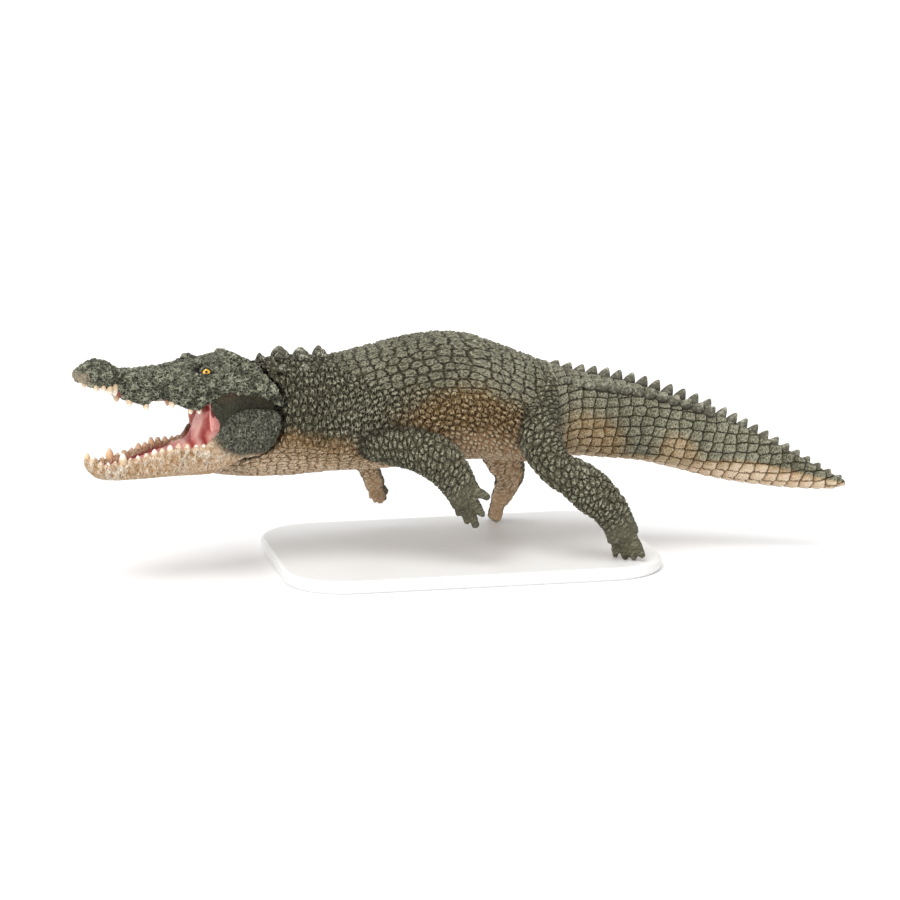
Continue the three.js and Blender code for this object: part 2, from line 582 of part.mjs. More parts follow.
// A limb that grows out of the body, parted at its two joints, with its toes joined on.
function limbPieces(name, limb) {
  const whole = limbTube(limb.spine, limb.up).subtract(grownBody);
  const points = limb.spine.map((row) => new THREE.Vector3(...row.slice(0, 3)));
  const curve = new THREE.CatmullRomCurve3(points, false, "centripetal");
  const planes = limb.joints.map((t) => {
    const at = curve.getPoint(t / (points.length - 1));
    const normal = curve.getTangent(t / (points.length - 1)).normalize();
    return { normal: normal.toArray(), offset: normal.dot(at), back: normal.clone().negate().toArray() };
  });
  const [knee, ankle] = planes;
  const toes = limb.toes.map(([root, tip, radius]) => toeSolid(root, tip, radius));
  const before = (solid, plane) => solid.trimByPlane(plane.back, -(plane.offset - GAP / 2));
  const after = (solid, plane) => solid.trimByPlane(plane.normal, plane.offset + GAP / 2);
  const foot = after(joined([whole, ...toes]), ankle).trimByPlane([0, 0, 1], FLOOR);
  const names = name.startsWith("front") ? ["upper_arm", "forearm", "hand"] : ["thigh", "shank", "foot"];
  const solids = [before(whole, knee), before(after(whole, knee), ankle), foot];
  return names.map((piece, i) => [`${piece}_${name}`, largest(solids[i])]);
}

// A toe from its root to its tip. A toe that stands runs a little past its tip, and the floor cuts it flat.
function toeSolid(root, tip, radius) {
  const a = new THREE.Vector3(...root);
  const b = new THREE.Vector3(...tip);
  const reach = b.clone().sub(a);
  const start = a.clone().addScaledVector(reach, -0.25);
  const standing = tip[2] === FLOOR;
  const rows = [
    [...start.toArray(), radius * 0.9, radius * 0.9],
    [...a.clone().addScaledVector(reach, 0.5).toArray(), radius, radius * 0.9],
    [...a.clone().addScaledVector(reach, standing ? 1.1 : 0.95).toArray(), radius * 0.5, radius * 0.45],
  ];
  return limbTube(rows, [0, 1, 0.2], 5, 1);
}

// The largest body of a solid, without the slivers that a cut leaves.
function largest(solid) {
  const bodies = solid.decompose();
  return bodies.reduce((best, body) => (body.volume() > best.volume() ? body : best));
}

// ---------------------------------------------------------------- display base

function displayBase() {
  const { x, y, length, width, corner, thickness, edge } = BASE;
  const reach = length / 2 - corner;
  const side = width / 2 - corner;
  const shape = new THREE.Shape();
  [[reach, -side, -0.5], [reach, side, 0], [-reach, side, 0.5], [-reach, -side, 1]].forEach(([u, v, start]) =>
    shape.absarc(u, v, corner - edge, Math.PI * start, Math.PI * (start + 0.5)));
  const bevel = { bevelThickness: edge, bevelSize: edge, bevelSegments: 1, curveSegments: 5 };
  const slab = new THREE.ExtrudeGeometry(shape, { depth: thickness - 2 * edge, ...bevel });
  return toSolid(slab.translate(x, y, edge));
}

// ---------------------------------------------------------------- the model

const paint = (name, color, roughness) =>
  new THREE.MeshStandardMaterial({ name, color, roughness, metalness: 0 });
const HIDE = paint("hide", 0x4d5144, 0.72);
const JAW_HIDE = paint("jaw_hide", 0xb59a72, 0.72);
const MOUTH = paint("mouth", 0xc4676b, 0.6);
const EYE_PAINT = paint("eye", 0xe0a020, 0.25);
const STAND = paint("stand", 0xe8e8e6, 0.5);

function named(name, solid, material) {
  const mesh = new THREE.Mesh(toGeometry(solid), material);
  mesh.name = name;
  return mesh;
}

const crocodile = new THREE.Group();
const neck = between(wholeBody, -70, CUTS.neck).subtract(neckRoom);
crocodile.add(named("neck", largest(neck), HIDE));
crocodile.add(named("trunk", between(wholeBody, CUTS.neck, CUTS.tailBase), HIDE));
crocodile.add(named("tail_base", between(wholeBody, CUTS.tailBase, CUTS.tailMiddle), HIDE));
crocodile.add(named("tail_middle", between(wholeBody, CUTS.tailMiddle, CUTS.tailTip), HIDE));
crocodile.add(named("tail_tip", between(wholeBody, CUTS.tailTip, 100), HIDE));

for (const [name, limb] of Object.entries(LIMBS)) {
  crocodile.add(...limbPieces(name, limb).map(([piece, solid]) => named(piece, solid, HIDE)));
}

const headFrame = new THREE.Group();
headFrame.position.copy(HEAD_ORIGIN);
headFrame.rotation.copy(headTurn);
const head = new THREE.Group();
head.position.z = -HEAD_ORIGIN.z;
headFrame.add(head);
head.add(named("head", largest(headSolid), HIDE));
head.add(named("eye_left", eyeBall(-1, 0), EYE_PAINT));
head.add(named("eye_right", eyeBall(1, 0), EYE_PAINT));
head.add(named("lower_jaw", largest(jawSolid), JAW_HIDE));
head.add(named("tongue", largest(tongueSolid), MOUTH));
crocodile.add(headFrame);

crocodile.add(named("stand_base", displayBase(), STAND));

// The origin is on the floor, under the middle of the whole figure.
const extent = new THREE.Box3().setFromObject(crocodile, true);
const centre = extent.getCenter(new THREE.Vector3());
crocodile.position.set(-centre.x, -centre.y, -extent.min.z);

export default crocodile;
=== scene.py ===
# %% [markdown]
# A moulded toy crocodile, about 18 cm long, lunges off its hind toes with its mouth open. Its lower jaw is a
# second piece that turns about a hinge in the cheeks, so the figure has two bodies: the figure and the jaw.
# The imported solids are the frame. They are right in size and place but faceted, so here each of them gets
# its real surface: one scaly skin for the body, a pitted skull, a rough jaw, soft tongue, teeth and eyes.

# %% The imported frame
import math

import bmesh
import bpy
import numpy as np
from mathutils import Matrix, Vector
from mathutils.bvhtree import BVHTree


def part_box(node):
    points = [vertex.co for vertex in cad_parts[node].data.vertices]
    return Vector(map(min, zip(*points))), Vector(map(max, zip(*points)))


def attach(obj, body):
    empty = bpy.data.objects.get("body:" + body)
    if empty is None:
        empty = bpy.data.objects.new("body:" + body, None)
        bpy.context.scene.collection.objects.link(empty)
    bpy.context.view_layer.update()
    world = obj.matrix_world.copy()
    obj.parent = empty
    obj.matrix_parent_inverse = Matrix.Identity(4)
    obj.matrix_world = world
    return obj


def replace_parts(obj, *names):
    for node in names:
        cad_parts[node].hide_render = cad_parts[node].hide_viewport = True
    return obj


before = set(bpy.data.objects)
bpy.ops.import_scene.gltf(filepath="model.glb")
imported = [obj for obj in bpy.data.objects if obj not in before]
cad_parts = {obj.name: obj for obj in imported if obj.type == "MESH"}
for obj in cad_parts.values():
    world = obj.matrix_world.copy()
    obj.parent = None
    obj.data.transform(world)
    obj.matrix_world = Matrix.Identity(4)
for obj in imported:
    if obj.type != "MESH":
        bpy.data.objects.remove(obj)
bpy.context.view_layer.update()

MM = 0.001  # tables and shapes are in millimetres, and meshes in metres
base_low, base_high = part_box("stand_base")
DRAWN_AT = np.array([(base_low.x + base_high.x) / 2, (base_low.y + base_high.y) / 2, 0]) / MM
FLOOR = base_high.z / MM

# %% [markdown]
# The figure stands on a white table in soft studio light: a pale floor, a big soft light overhead, a weak one
# beside the camera that reaches into the open mouth, and white surroundings that fill the shadows. Both lamps
# are wide, so their shadows are soft. Several small lamps would each throw a hard one, so they are left out.

# %% The camera
AIM = Vector((0.18, 0, 28)) * MM
SHOT_AZIMUTH, SHOT_HEIGHT = math.radians(348), math.radians(12)
SHOT_DISTANCE = 0.9  # metres


def in_scene(name, data):
    """A new object for a camera, lamp or mesh, linked into the scene at the origin."""
    made = bpy.data.objects.new(name, data)
    bpy.context.scene.collection.objects.link(made)
    return made


camera_data = bpy.data.cameras.new("camera")
camera = in_scene("camera", camera_data)
backwards = Vector((
    math.sin(SHOT_AZIMUTH) * math.cos(SHOT_HEIGHT),
    -math.cos(SHOT_AZIMUTH) * math.cos(SHOT_HEIGHT),
    math.sin(SHOT_HEIGHT),
))
camera.location = AIM + SHOT_DISTANCE * backwards
camera.rotation_mode = "QUATERNION"
camera.rotation_quaternion = (-backwards).to_track_quat("-Z", "Y")
camera_data.lens, camera_data.sensor_width = 155.2, 36
camera_data.shift_x, camera_data.shift_y = -0.01, -0.0111
camera_data.clip_start, camera_data.clip_end = 0.05, 20
bpy.context.scene.camera = camera
print("camera at", [round(v, 3) for v in camera.location])

# %% Lights, surroundings and floor
LAMPS = {  # where the light goes, its strength and how wide the lamp looks, in degrees
    "overhead": ((0.35, 0.35, -1.0), 1.65, 36),
    "beside_the_camera": ((0.5, 0.8, -0.33), 0.9, 40),
}
for name, (direction, strength, width) in LAMPS.items():
    lamp = bpy.data.lights.new(name, "SUN")
    lamp.energy, lamp.angle, lamp.color = strength, math.radians(width), (1.0, 0.985, 0.96)
    holder = in_scene(name, lamp)
    holder.rotation_mode = "QUATERNION"
    holder.rotation_quaternion = Vector(direction).to_track_quat("-Z", "Y")

world = bpy.data.worlds.new("white_surroundings")
world.use_nodes = True
background = world.node_tree.nodes["Background"].inputs
background["Color"].default_value, background["Strength"].default_value = (1.0, 1.0, 1.0, 1.0), 0.8
bpy.context.scene.world = world
bpy.context.scene.view_settings.view_transform = "Standard"

FLOOR_REACH = 6.0  # metres each way
floor_mesh = bpy.data.meshes.new("floor")
corners = [(-1, -1), (1, -1), (1, 1), (-1, 1)]
floor_mesh.from_pydata([(x * FLOOR_REACH, y * FLOOR_REACH, 0) for x, y in corners], [], [(0, 1, 2, 3)])
floor = in_scene("floor", floor_mesh)
white = bpy.data.materials.new("white_table")
white.use_nodes = True
table_top = {"Base Color": (0.93, 0.93, 0.935, 1), "Roughness": 0.9, "Specular IOR Level": 0.1}
for socket, value in table_top.items():
    white.node_tree.nodes["Principled BSDF"].inputs[socket].default_value = value
floor_mesh.materials.append(white)
print("lamps:", ", ".join(LAMPS))

# %% [markdown]
# Both the relief in the meshes and the paint on them follow the same rules, such as where one scale ends and
# the next starts. The two kinds of node tree, geometry and shader, share most of their nodes, so one small
# class writes for both: sums and products of values become Math nodes, and any other node comes from one
# method. That way a groove that is cut into the mesh is also where the dark wash of paint runs.

# %% Node trees written as expressions
MATHS = {"+": "ADD", "-": "SUBTRACT", "*": "MULTIPLY", "/": "DIVIDE"}


class Field:
    """A value that varies over a surface: one output socket of a node tree."""

    def __init__(self, graph, socket):
        self.graph, self.socket = graph, socket

    def _sum(self, sign, a, b):
        return self.graph.maths(MATHS[sign], a, b)

    def __add__(self, other): return self._sum("+", self, other)
    def __radd__(self, other): return self._sum("+", other, self)
    def __sub__(self, other): return self._sum("-", self, other)
    def __rsub__(self, other): return self._sum("-", other, self)
    def __mul__(self, other): return self._sum("*", self, other)
    def __rmul__(self, other): return self._sum("*", other, self)
    def __truediv__(self, other): return self._sum("/", self, other)
    def __rtruediv__(self, other): return self._sum("/", other, self)


class Graph:
    """A node tree that is written as expressions."""

    def __init__(self, tree):
        self.tree = tree
        self.geometry = tree.bl_idname == "GeometryNodeTree"

    def node(self, kind, settings=None, inputs=None, output=0):
        """Any node, by its type, settings, and the values or links of its inputs. Gives one of its outputs."""
        made = self.tree.nodes.new(kind)
        for name, value in (settings or {}).items():
            if name == "stops":
                self._ramp(made.color_ramp, value)
            else:
                setattr(made, name, value)
        for name, value in (inputs or {}).items():
            socket = made.inputs[name]
            if isinstance(value, Field):
                self.tree.links.new(value.socket, socket)
            else:
                socket.default_value = value
        return Field(self, made.outputs[output])

    def _ramp(self, ramp, stops):
        while len(ramp.elements) < len(stops):
            ramp.elements.new(0.5)
        for element, (at, colour) in zip(ramp.elements, stops):
            element.position, element.color = at, (*colour, 1)

    def maths(self, operation, *values):
        return self.node("ShaderNodeMath", {"operation": operation}, dict(enumerate(values)))

    def smooth(self, value, start, end, low=0.0, high=1.0):
        """A soft step: low where value is at start and high where it is at end."""
        names = {"Value": value, "From Min": start, "From Max": end, "To Min": low, "To Max": high}
        return self.node("ShaderNodeMapRange", {"interpolation_type": "SMOOTHSTEP"}, names)

    def blend(self, a, b, share):
        """From value a to value b."""
        return a + (b - a) * share

    def tint(self, a, b, share):
        """From colour a to colour b. The Mix node has a set of sockets for each kind of value, so they are
        chosen by number: 0 is the factor, 6 and 7 are the two colours, and output 2 is the mixed colour."""
        a, b = (colour if isinstance(colour, Field) else (*colour, 1) for colour in (a, b))
        settings = {"data_type": "RGBA", "clamp_factor": True}
        return self.node("ShaderNodeMix", settings, {0: share, 6: a, 7: b}, 2)

    def painted(self, name, vector=False):
        """A number or vector that was stored for each point of the mesh, by its name."""
        if self.geometry:
            kind = "FLOAT_VECTOR" if vector else "FLOAT"
            return self.node("GeometryNodeInputNamedAttribute", {"data_type": kind}, {"Name": name})
        return self.node("ShaderNodeAttribute", {"attribute_name": name}, None, 1 if vector else 2)

    def vector(self, x, y, z=0.0):
        return self.node("ShaderNodeCombineXYZ", None, {"X": x, "Y": y, "Z": z})

    def part(self, vector, axis):
        return self.node("ShaderNodeSeparateXYZ", None, {"Vector": vector}, axis)

    def noise(self, vector, scale, detail=2.0, roughness=0.5):
        names = {"Vector": vector, "Scale": scale, "Detail": detail, "Roughness": roughness}
        return self.node("ShaderNodeTexNoise", {"noise_dimensions": "3D"}, names)

    def cells(self, vector, feature, jitter, dimensions="3D", output="Distance"):
        """Voronoi cells about one unit wide: by default the distance to a cell's edge or to its middle."""
        sockets = {"Vector": vector, "Scale": 1.0, "Randomness": jitter}
        settings = {"voronoi_dimensions": dimensions, "feature": feature}
        return self.node("ShaderNodeTexVoronoi", settings, sockets, output)


print("operators:", " ".join(MATHS))

# %% [markdown]
# The drawing tables are those that the solids were made from: sections of the body from snout side to tail
# tip, how far each section leans, and the centrelines of the limbs with their radii. They could be read off
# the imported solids, but those are faceted, and a new skin that is drawn through the same tables is smooth.

# %% Drawing tables, in millimetres
BODY = np.array([  # x, top, underside, half-width, squareness, how much the section narrows upwards
    [-60, 41.0, 23.2, 8.5, 2.2, 0.0], [-52, 47.6, 22.1, 10.6, 2.2, 0.0], [-46, 49.2, 21.8, 11.8, 2.2, 0.0],
    [-38, 49.4, 22.2, 12.6, 2.3, 0.05], [-30, 49.2, 22.7, 13.6, 2.3, 0.05],
    [-22, 50.7, 22.8, 15.0, 2.3, 0.05], [-14, 52.4, 23.2, 16.0, 2.3, 0.05],
    [-6, 53.4, 23.8, 16.6, 2.3, 0.05], [2, 52.8, 24.2, 16.2, 2.3, 0.06], [10, 50.0, 23.4, 14.6, 2.3, 0.08],
    [18, 46.6, 22.9, 12.2, 2.4, 0.1], [26, 43.4, 24.2, 10.0, 2.6, 0.14], [34, 41.3, 23.6, 9.0, 2.8, 0.18],
    [42, 39.4, 22.6, 8.0, 2.8, 0.22], [50, 36.8, 20.5, 6.9, 2.7, 0.3], [58, 33.6, 18.2, 5.7, 2.6, 0.4],
    [66, 29.8, 16.5, 4.6, 2.4, 0.5], [74, 25.5, 15.5, 3.5, 2.3, 0.55], [82, 20.9, 15.0, 2.4, 2.2, 0.5],
    [87.0, 18.2, 15.1, 1.4, 2.0, 0.3], [89.8, 16.8, 15.8, 0.4, 2.0, 0.0],
])
TWIST = np.array([[-60, -4], [-36, -2], [-8, 0], [12, 2], [30, 8], [90, 8]], float)  # x, lean in degrees
TAIL_BEND = {"from": 15, "length": 75, "sweep": -12}
LIMBS = {  # the centreline as x, y, z and two radii, the side that the first radius is on, and the toes
    "front_left": ([
        [-25, -8, 32.5, 6.2, 5.4], [-20, -12.5, 32.0, 6.2, 5.0], [-12.6, -17.0, 29.9, 5.3, 4.4],
        [-8.1, -19.5, 27.2, 5.0, 4.1], [-5.2, -20.5, 23.4, 4.2, 3.5], [-3.4, -20.8, 20.2, 3.9, 2.6],
        [-2.5, -20.8, 18.6, 3.9, 2.0]], [1, 0.1, 0.4], [
        [[-2.0, -22.3, 21.6], [2.0, -23.7, 19.4], 1.2], [[-2.2, -21.6, 20.0], [1.0, -22.6, 14.8], 1.1],
        [[-2.9, -20.4, 18.4], [-0.3, -21.0, 11.9], 1.2], [[-3.4, -19.5, 18.0], [-2.0, -18.9, 12.4], 1.05],
        [[-4.2, -18.9, 18.4], [-4.0, -17.6, 14.2], 0.95]]),
    "front_right": ([
        [-25, 8, 32.5, 6.2, 5.4], [-22.5, 12.0, 27.5, 5.4, 4.6], [-19.8, 14.4, 22.6, 3.6, 3.6],
        [-18.2, 16.2, 18.6, 2.5, 2.7], [-17.0, 17.4, 15.8, 2.4, 2.2], [-16.4, 17.8, 14.2, 2.5, 1.9],
        ], [1, 0.3, 0.3], [
        [[-15.2, 18.8, 14.0], [-13.2, 20.0, 11.6], 0.95], [[-15.6, 18.2, 13.6], [-14.0, 18.9, 10.2], 1.0],
        [[-16.2, 17.8, 13.2], [-15.1, 17.9, 9.7], 1.0], [[-16.8, 17.2, 13.4], [-16.5, 16.7, 10.2], 0.95],
        [[-17.4, 16.6, 14.0], [-18.0, 15.4, 11.6], 0.85]]),
    "hind_left": ([
        [17.0, -5.0, 39.5, 6.6, 6.0], [15.7, -11.0, 35.0, 5.4, 5.1], [15.9, -16.0, 29.8, 4.9, 4.6],
        [18.5, -19.4, 24.8, 4.1, 4.1], [23.1, -20.5, 21.9, 4.6, 4.3], [27.0, -21.0, 18.6, 4.9, 4.2],
        [30.3, -21.6, 15.4, 4.2, 3.6], [32.6, -22.1, 11.6, 3.8, 2.6], [33.8, -22.4, 8.6, 3.9, 2.0],
        ], [1, 0, 0.8], [
        [[35.6, -23.4, 9.0], [37.9, -25.0, FLOOR + 0.9], 1.1],
        [[34.6, -22.8, 8.2], [36.2, -23.6, FLOOR + 0.2], 1.05],
        [[33.4, -22.2, 8.0], [34.4, -22.1, FLOOR], 1.05],
        [[32.1, -21.4, 8.2], [32.4, -20.5, FLOOR + 0.2], 0.95]]),
    "hind_right": ([
        [15.0, 5.0, 36.0, 6.4, 6.0], [12.0, 9.6, 28.5, 6.0, 5.4], [13.6, 14.2, 21.0, 4.8, 4.4],
        [16.0, 17.8, 15.6, 3.5, 3.2], [15.7, 20.2, 11.6, 2.8, 2.5], [14.5, 21.6, 8.2, 2.3, 1.9],
        ], [1, -0.2, 0.2], [
        [[14.8, 20.8, 7.8], [13.7, 19.9, FLOOR + 0.3], 0.85], [[14.4, 21.5, 7.4], [13.5, 21.3, FLOOR], 0.9],
        [[13.8, 22.1, 7.4], [13.2, 22.8, FLOOR], 0.9], [[13.3, 22.5, 7.8], [12.6, 24.1, FLOOR + 0.3], 0.8]]),
}
print("body sections", len(BODY), "limbs", {name: len(rows) for name, (rows, _, _) in LIMBS.items()})

# %% [markdown]
# A table has a row every few millimetres, and straight lines between its rows would show as flat bands on a
# smooth body. So its values are read through a curve with the rows on it. Each section is a superellipse, a
# rounded form between an ellipse and a box, and each limb follows a curve through the points of its centreline.

# %% Curves through the tables
WIDEST = 0.46  # how high up its height a section of the body is widest, as a share


def smooth_at(table, x):
    """Values of a table at x, one number or many, by a smooth curve through its rows."""
    x = np.atleast_1d(np.asarray(x, float))
    i = np.clip(np.searchsorted(table[:, 0], x, side="left") - 1, 0, len(table) - 2)
    a, b = table[i], table[i + 1]
    before, after = table[np.maximum(i - 1, 0)], table[np.minimum(i + 2, len(table) - 1)]
    span = b[:, :1] - a[:, :1]
    t = np.clip((x[:, None] - a[:, :1]) / span, 0, 1)
    slope_a = (b - before) / (b[:, :1] - before[:, :1]) * span
    slope_b = (after - a) / (after[:, :1] - a[:, :1]) * span
    t2, t3 = t * t, t * t * t
    value = ((2 * t3 - 3 * t2 + 1) * a + (t3 - 2 * t2 + t) * slope_a
             + (3 * t2 - 2 * t3) * b + (t3 - t2) * slope_b)
    return value[:, 1:]


def spine_y(x):
    """How far the middle of the body is bent to the side at x: nothing up to the hips, and more to the tail."""
    t = np.maximum(0, (np.asarray(x, float) - TAIL_BEND["from"]) / TAIL_BEND["length"])
    return TAIL_BEND["sweep"] * t * t


def on_section(x, across, up):
    """Points of the sections at x, given across and up, leaned over with the body there."""
    x, across, up = np.broadcast_arrays(*(np.asarray(v, float) for v in (x, across, up)))
    flat = x.ravel()
    top, under = smooth_at(BODY, flat)[:, :2].T
    lean = np.radians(smooth_at(TWIST, flat)[:, 0])
    middle, across, up = (top + under) / 2, across.ravel(), up.ravel()
    y = spine_y(flat) + across * np.cos(lean) - (up - middle) * np.sin(lean)
    z = middle + (up - middle) * np.cos(lean) + across * np.sin(lean)
    return np.stack([flat, y, z], 1).reshape(*x.shape, 3)


def section_curve(x, angle):
    """Across and up of the body's section at x, at angles that run round it from its left side."""
    top, under, half_width, squareness, taper = smooth_at(BODY, x).T[:, :, None]
    middle = under + (top - under) * WIDEST
    rise, across = (np.sign(v) * np.abs(v) ** (2 / squareness) for v in (np.sin(angle), np.cos(angle)))
    across = across * half_width * (1 - taper * np.maximum(0, rise))
    return across, middle + rise * np.where(rise > 0, top - middle, middle - under)


def curve_points(rows, t):
    """Points and directions of a centripetal curve through rows, at t from 0 to the number of spans."""
    p = np.asarray(rows, float)[:, :3]
    p = np.vstack([2 * p[0] - p[1], p, 2 * p[-1] - p[-2]])
    i = np.clip(np.floor(t).astype(int), 0, len(p) - 4)
    u = (t - i)[:, None]
    p0, p1, p2, p3 = p[i], p[i + 1], p[i + 2], p[i + 3]
    d0, d1, d2 = (np.sqrt(np.linalg.norm(b - a, axis=1))[:, None] for a, b in ((p0, p1), (p1, p2), (p2, p3)))
    m1 = ((p1 - p0) / d0 - (p2 - p0) / (d0 + d1) + (p2 - p1) / d1) * d1
    m2 = ((p2 - p1) / d1 - (p3 - p1) / (d1 + d2) + (p3 - p2) / d2) * d1
    at = ((2 * u**3 - 3 * u**2 + 1) * p1 + (u**3 - 2 * u**2 + u) * m1
          + (3 * u**2 - 2 * u**3) * p2 + (u**3 - u**2) * m2)
    to = (6 * u**2 - 6 * u) * (p1 - p2) + (3 * u**2 - 4 * u + 1) * m1 + (3 * u**2 - 2 * u) * m2
    return at, to / np.linalg.norm(to, axis=1)[:, None]


def limb_frame(rows, up, t):
    """Centres, directions, the two cross directions and the two radii along a limb."""
    centre, along = curve_points(rows, t)
    up = np.asarray(up, float)
    wide = up - along * (along @ up)[:, None]
    wide /= np.linalg.norm(wide, axis=1)[:, None]
    table = np.array([[i, row[3], row[4]] for i, row in enumerate(rows)], float)
    return centre, along, wide, np.cross(along, wide), smooth_at(table, t)


print("the tail tip bends to y =", float(spine_y(90)), "mm")

# %% [markdown]
# A closed tube over rings of points is the quickest way to a body, a limb or a toe. The tubes run into each
# other, and a voxel remesh then melts them into one skin, as the sculptor of such a toy blends clay.
# Boolean unions would keep a hard line at every joint, which a moulding made from one piece of clay hasn't.

# %% Tubes
def mesh_object(name, points, faces):
    """An object at the origin from points in drawing millimetres."""
    mesh = bpy.data.meshes.new(name)
    mesh.from_pydata((np.asarray(points) + DRAWN_AT).dot(MM).tolist(), [], [list(f) for f in faces])
    mesh.update()
    return in_scene(name, mesh)


def tube(rings):
    """Points and faces of a closed tube over rings, an array of ring, point and xyz, with flat ends."""
    count, sides = rings.shape[:2]
    index = np.arange(count * sides).reshape(count, sides)
    nxt = np.roll(index, -1, 1)
    faces = np.stack([index[:-1], nxt[:-1], nxt[1:], index[1:]], -1).reshape(-1, 4).tolist()
    return rings.reshape(-1, 3), [*faces, index[0, ::-1].tolist(), index[-1].tolist()]


def limb_rings(rows, up, sides, per_span):
    """Rings along a limb or toe. Each end gets a few more that shrink as they move out, which rounds it."""
    spans = len(rows) - 1
    t = np.linspace(0, spans, spans * per_span + 1)
    swell, shift = np.ones_like(t), np.zeros_like(t)
    rounding = np.linspace(0.15, 1.35, 5)
    t = np.concatenate([np.zeros(len(rounding)), t, np.full(len(rounding), float(spans))])
    swell = np.concatenate([np.cos(rounding[::-1]), swell, np.cos(rounding)])
    shift = np.concatenate([-np.sin(rounding[::-1]), shift, np.sin(rounding)]) * 0.5
    centre, along, wide, deep, radii = limb_frame(rows, up, t)
    angle = np.linspace(0, 2 * np.pi, sides, endpoint=False)
    centre = centre + along * (shift * radii[:, 1])[:, None]
    a, b = (radii * swell[:, None]).T[:, :, None, None]
    return (centre[:, None] + wide[:, None] * a * np.cos(angle)[None, :, None]
            + deep[:, None] * b * np.sin(angle)[None, :, None])


def toe_rows(root, tip, radius):
    """A short limb's rows for one toe, which starts inside the foot and narrows to its claw."""
    root, tip = np.array(root, float), np.array(tip, float)
    reach = tip - root
    ends = [(-0.25, 0.9, 0.9), (0.55, 1.0, 0.92), (0.94, 0.74, 0.66)]
    return [[*(root + reach * share), radius * wide, radius * deep] for share, wide, deep in ends]


def joined_mesh(name, pieces):
    """One object from pieces given as points and faces."""
    points, faces, start = [], [], 0
    for piece_points, piece_faces in pieces:
        points.append(piece_points)
        faces += [[i + start for i in face] for face in piece_faces]
        start += len(piece_points)
    return mesh_object(name, np.vstack(points), faces)


print("rounded limb rings:", limb_rings(*LIMBS["hind_left"][:2], 24, 8).shape)

# %% [markdown]
# Between the modifiers, numpy does the sculpting: the points of a mesh are read as one array, moved, and
# written back. A mask, a number from 0 to 1 for each point, says where a change applies, and the smooth step
# between two values gives it a soft edge. Sculpting brushes would do the same, but not the same each time.

# %% Meshes read, changed and written
def node_copy(*nodes):
    """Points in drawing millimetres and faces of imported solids, with their loose triangles merged."""
    pieces = []
    for node in nodes:
        form = bmesh.new()
        form.from_mesh(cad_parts[node].data)
        bmesh.ops.remove_doubles(form, verts=form.verts, dist=0.002 * MM)
        points = np.array([v.co for v in form.verts]) / MM - DRAWN_AT
        pieces.append((points, [[v.index for v in face.verts] for face in form.faces]))
        form.free()
    return pieces


def finished(obj, *modifiers):
    """The object's mesh with modifiers applied, each given as (type, settings)."""
    for kind, settings in modifiers:
        modifier = obj.modifiers.new(kind.lower(), kind)
        for name, value in settings.items():
            setattr(modifier, name, value)
    graph = bpy.context.evaluated_depsgraph_get()
    mesh = bpy.data.meshes.new_from_object(obj.evaluated_get(graph), depsgraph=graph)
    obj.modifiers.clear()
    old, obj.data = obj.data, mesh
    bpy.data.meshes.remove(old)
    mesh.name = obj.name
    return obj


def points_of(obj):
    """The points of an object's mesh in drawing millimetres."""
    flat = np.empty(len(obj.data.vertices) * 3, np.float32)
    obj.data.vertices.foreach_get("co", flat)
    return flat.reshape(-1, 3).astype(float) / MM - DRAWN_AT


def normals_of(obj):
    flat = np.empty(len(obj.data.vertices) * 3, np.float32)
    obj.data.vertices.foreach_get("normal", flat)
    return flat.reshape(-1, 3).astype(float)


def place_points(obj, points):
    obj.data.vertices.foreach_set("co", ((points + DRAWN_AT) * MM).astype(np.float32).ravel())
    obj.data.update()


def paint_on(obj, name, values):
    """Stores a number or a vector for each point of the mesh."""
    kind, field = ("FLOAT_VECTOR", "vector") if values.ndim == 2 else ("FLOAT", "value")
    attribute = obj.data.attributes.new(name, kind, "POINT")
    attribute.data.foreach_set(field, values.astype(np.float32).ravel())


def neighbours(obj):
    """The two ends of each edge."""
    edges = np.empty(len(obj.data.edges) * 2, np.int32)
    obj.data.edges.foreach_get("vertices", edges)
    return edges.reshape(-1, 2)


print("points of the head's solid", len(node_copy("head")[0][0]))

# %% Easing, soft steps and crumbs
def relaxed(points, edges, rounds, strength=0.5, where=None):
    """Each point moved towards the mean of its neighbours, a number of rounds."""
    count = np.bincount(edges.ravel(), minlength=len(points))[:, None]
    for _ in range(rounds):
        total = np.zeros_like(points)
        for axis in range(points.shape[1]):
            total[:, axis] = (np.bincount(edges[:, 0], points[edges[:, 1], axis], len(points))
                              + np.bincount(edges[:, 1], points[edges[:, 0], axis], len(points)))
        step = (total / count - points) * strength
        points = points + (step if where is None else step * where[:, None])
    return points


def step_between(value, low, high):
    """A smooth step from 0 at low to 1 at high. Low may be the larger, and the step then falls."""
    t = np.clip((value - low) / (high - low), 0, 1)
    return t * t * (3 - 2 * t)


def without_crumbs(obj, fewest=200):
    """Deletes loose shells of few points, which the remesher can leave where two surfaces nearly touch."""
    shape = bmesh.new()
    shape.from_mesh(obj.data)
    waiting, crumbs = set(shape.verts), []
    while waiting:
        shell, border = [], [waiting.pop()]
        while border:
            shell.append(border.pop())
            fresh = {edge.other_vert(shell[-1]) for edge in shell[-1].link_edges} & waiting
            waiting -= fresh
            border += fresh
        crumbs += shell if len(shell) < fewest else []
    bmesh.ops.delete(shape, geom=crumbs, context="VERTS")
    shape.to_mesh(obj.data)
    shape.free()
    print(obj.name, "crumbs taken out:", len(crumbs), "points")


print("soft step halfway:", step_between(0.5, 0, 1))

# %% [markdown]
# The body is one moulding, from the collar behind the skull to the tip of the tail, with its limbs. Its skin
# is made as one closed mesh: a smooth tube through the sections, tubes for the limbs and toes, and the neck's
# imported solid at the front, because that has the collar cut to the shape of the skull and the jaw. A voxel
# remesh melts them together at an even spacing, which the scales need later on. Where two surfaces nearly
# touch, the remesh can leave crumbs, and they are taken out.

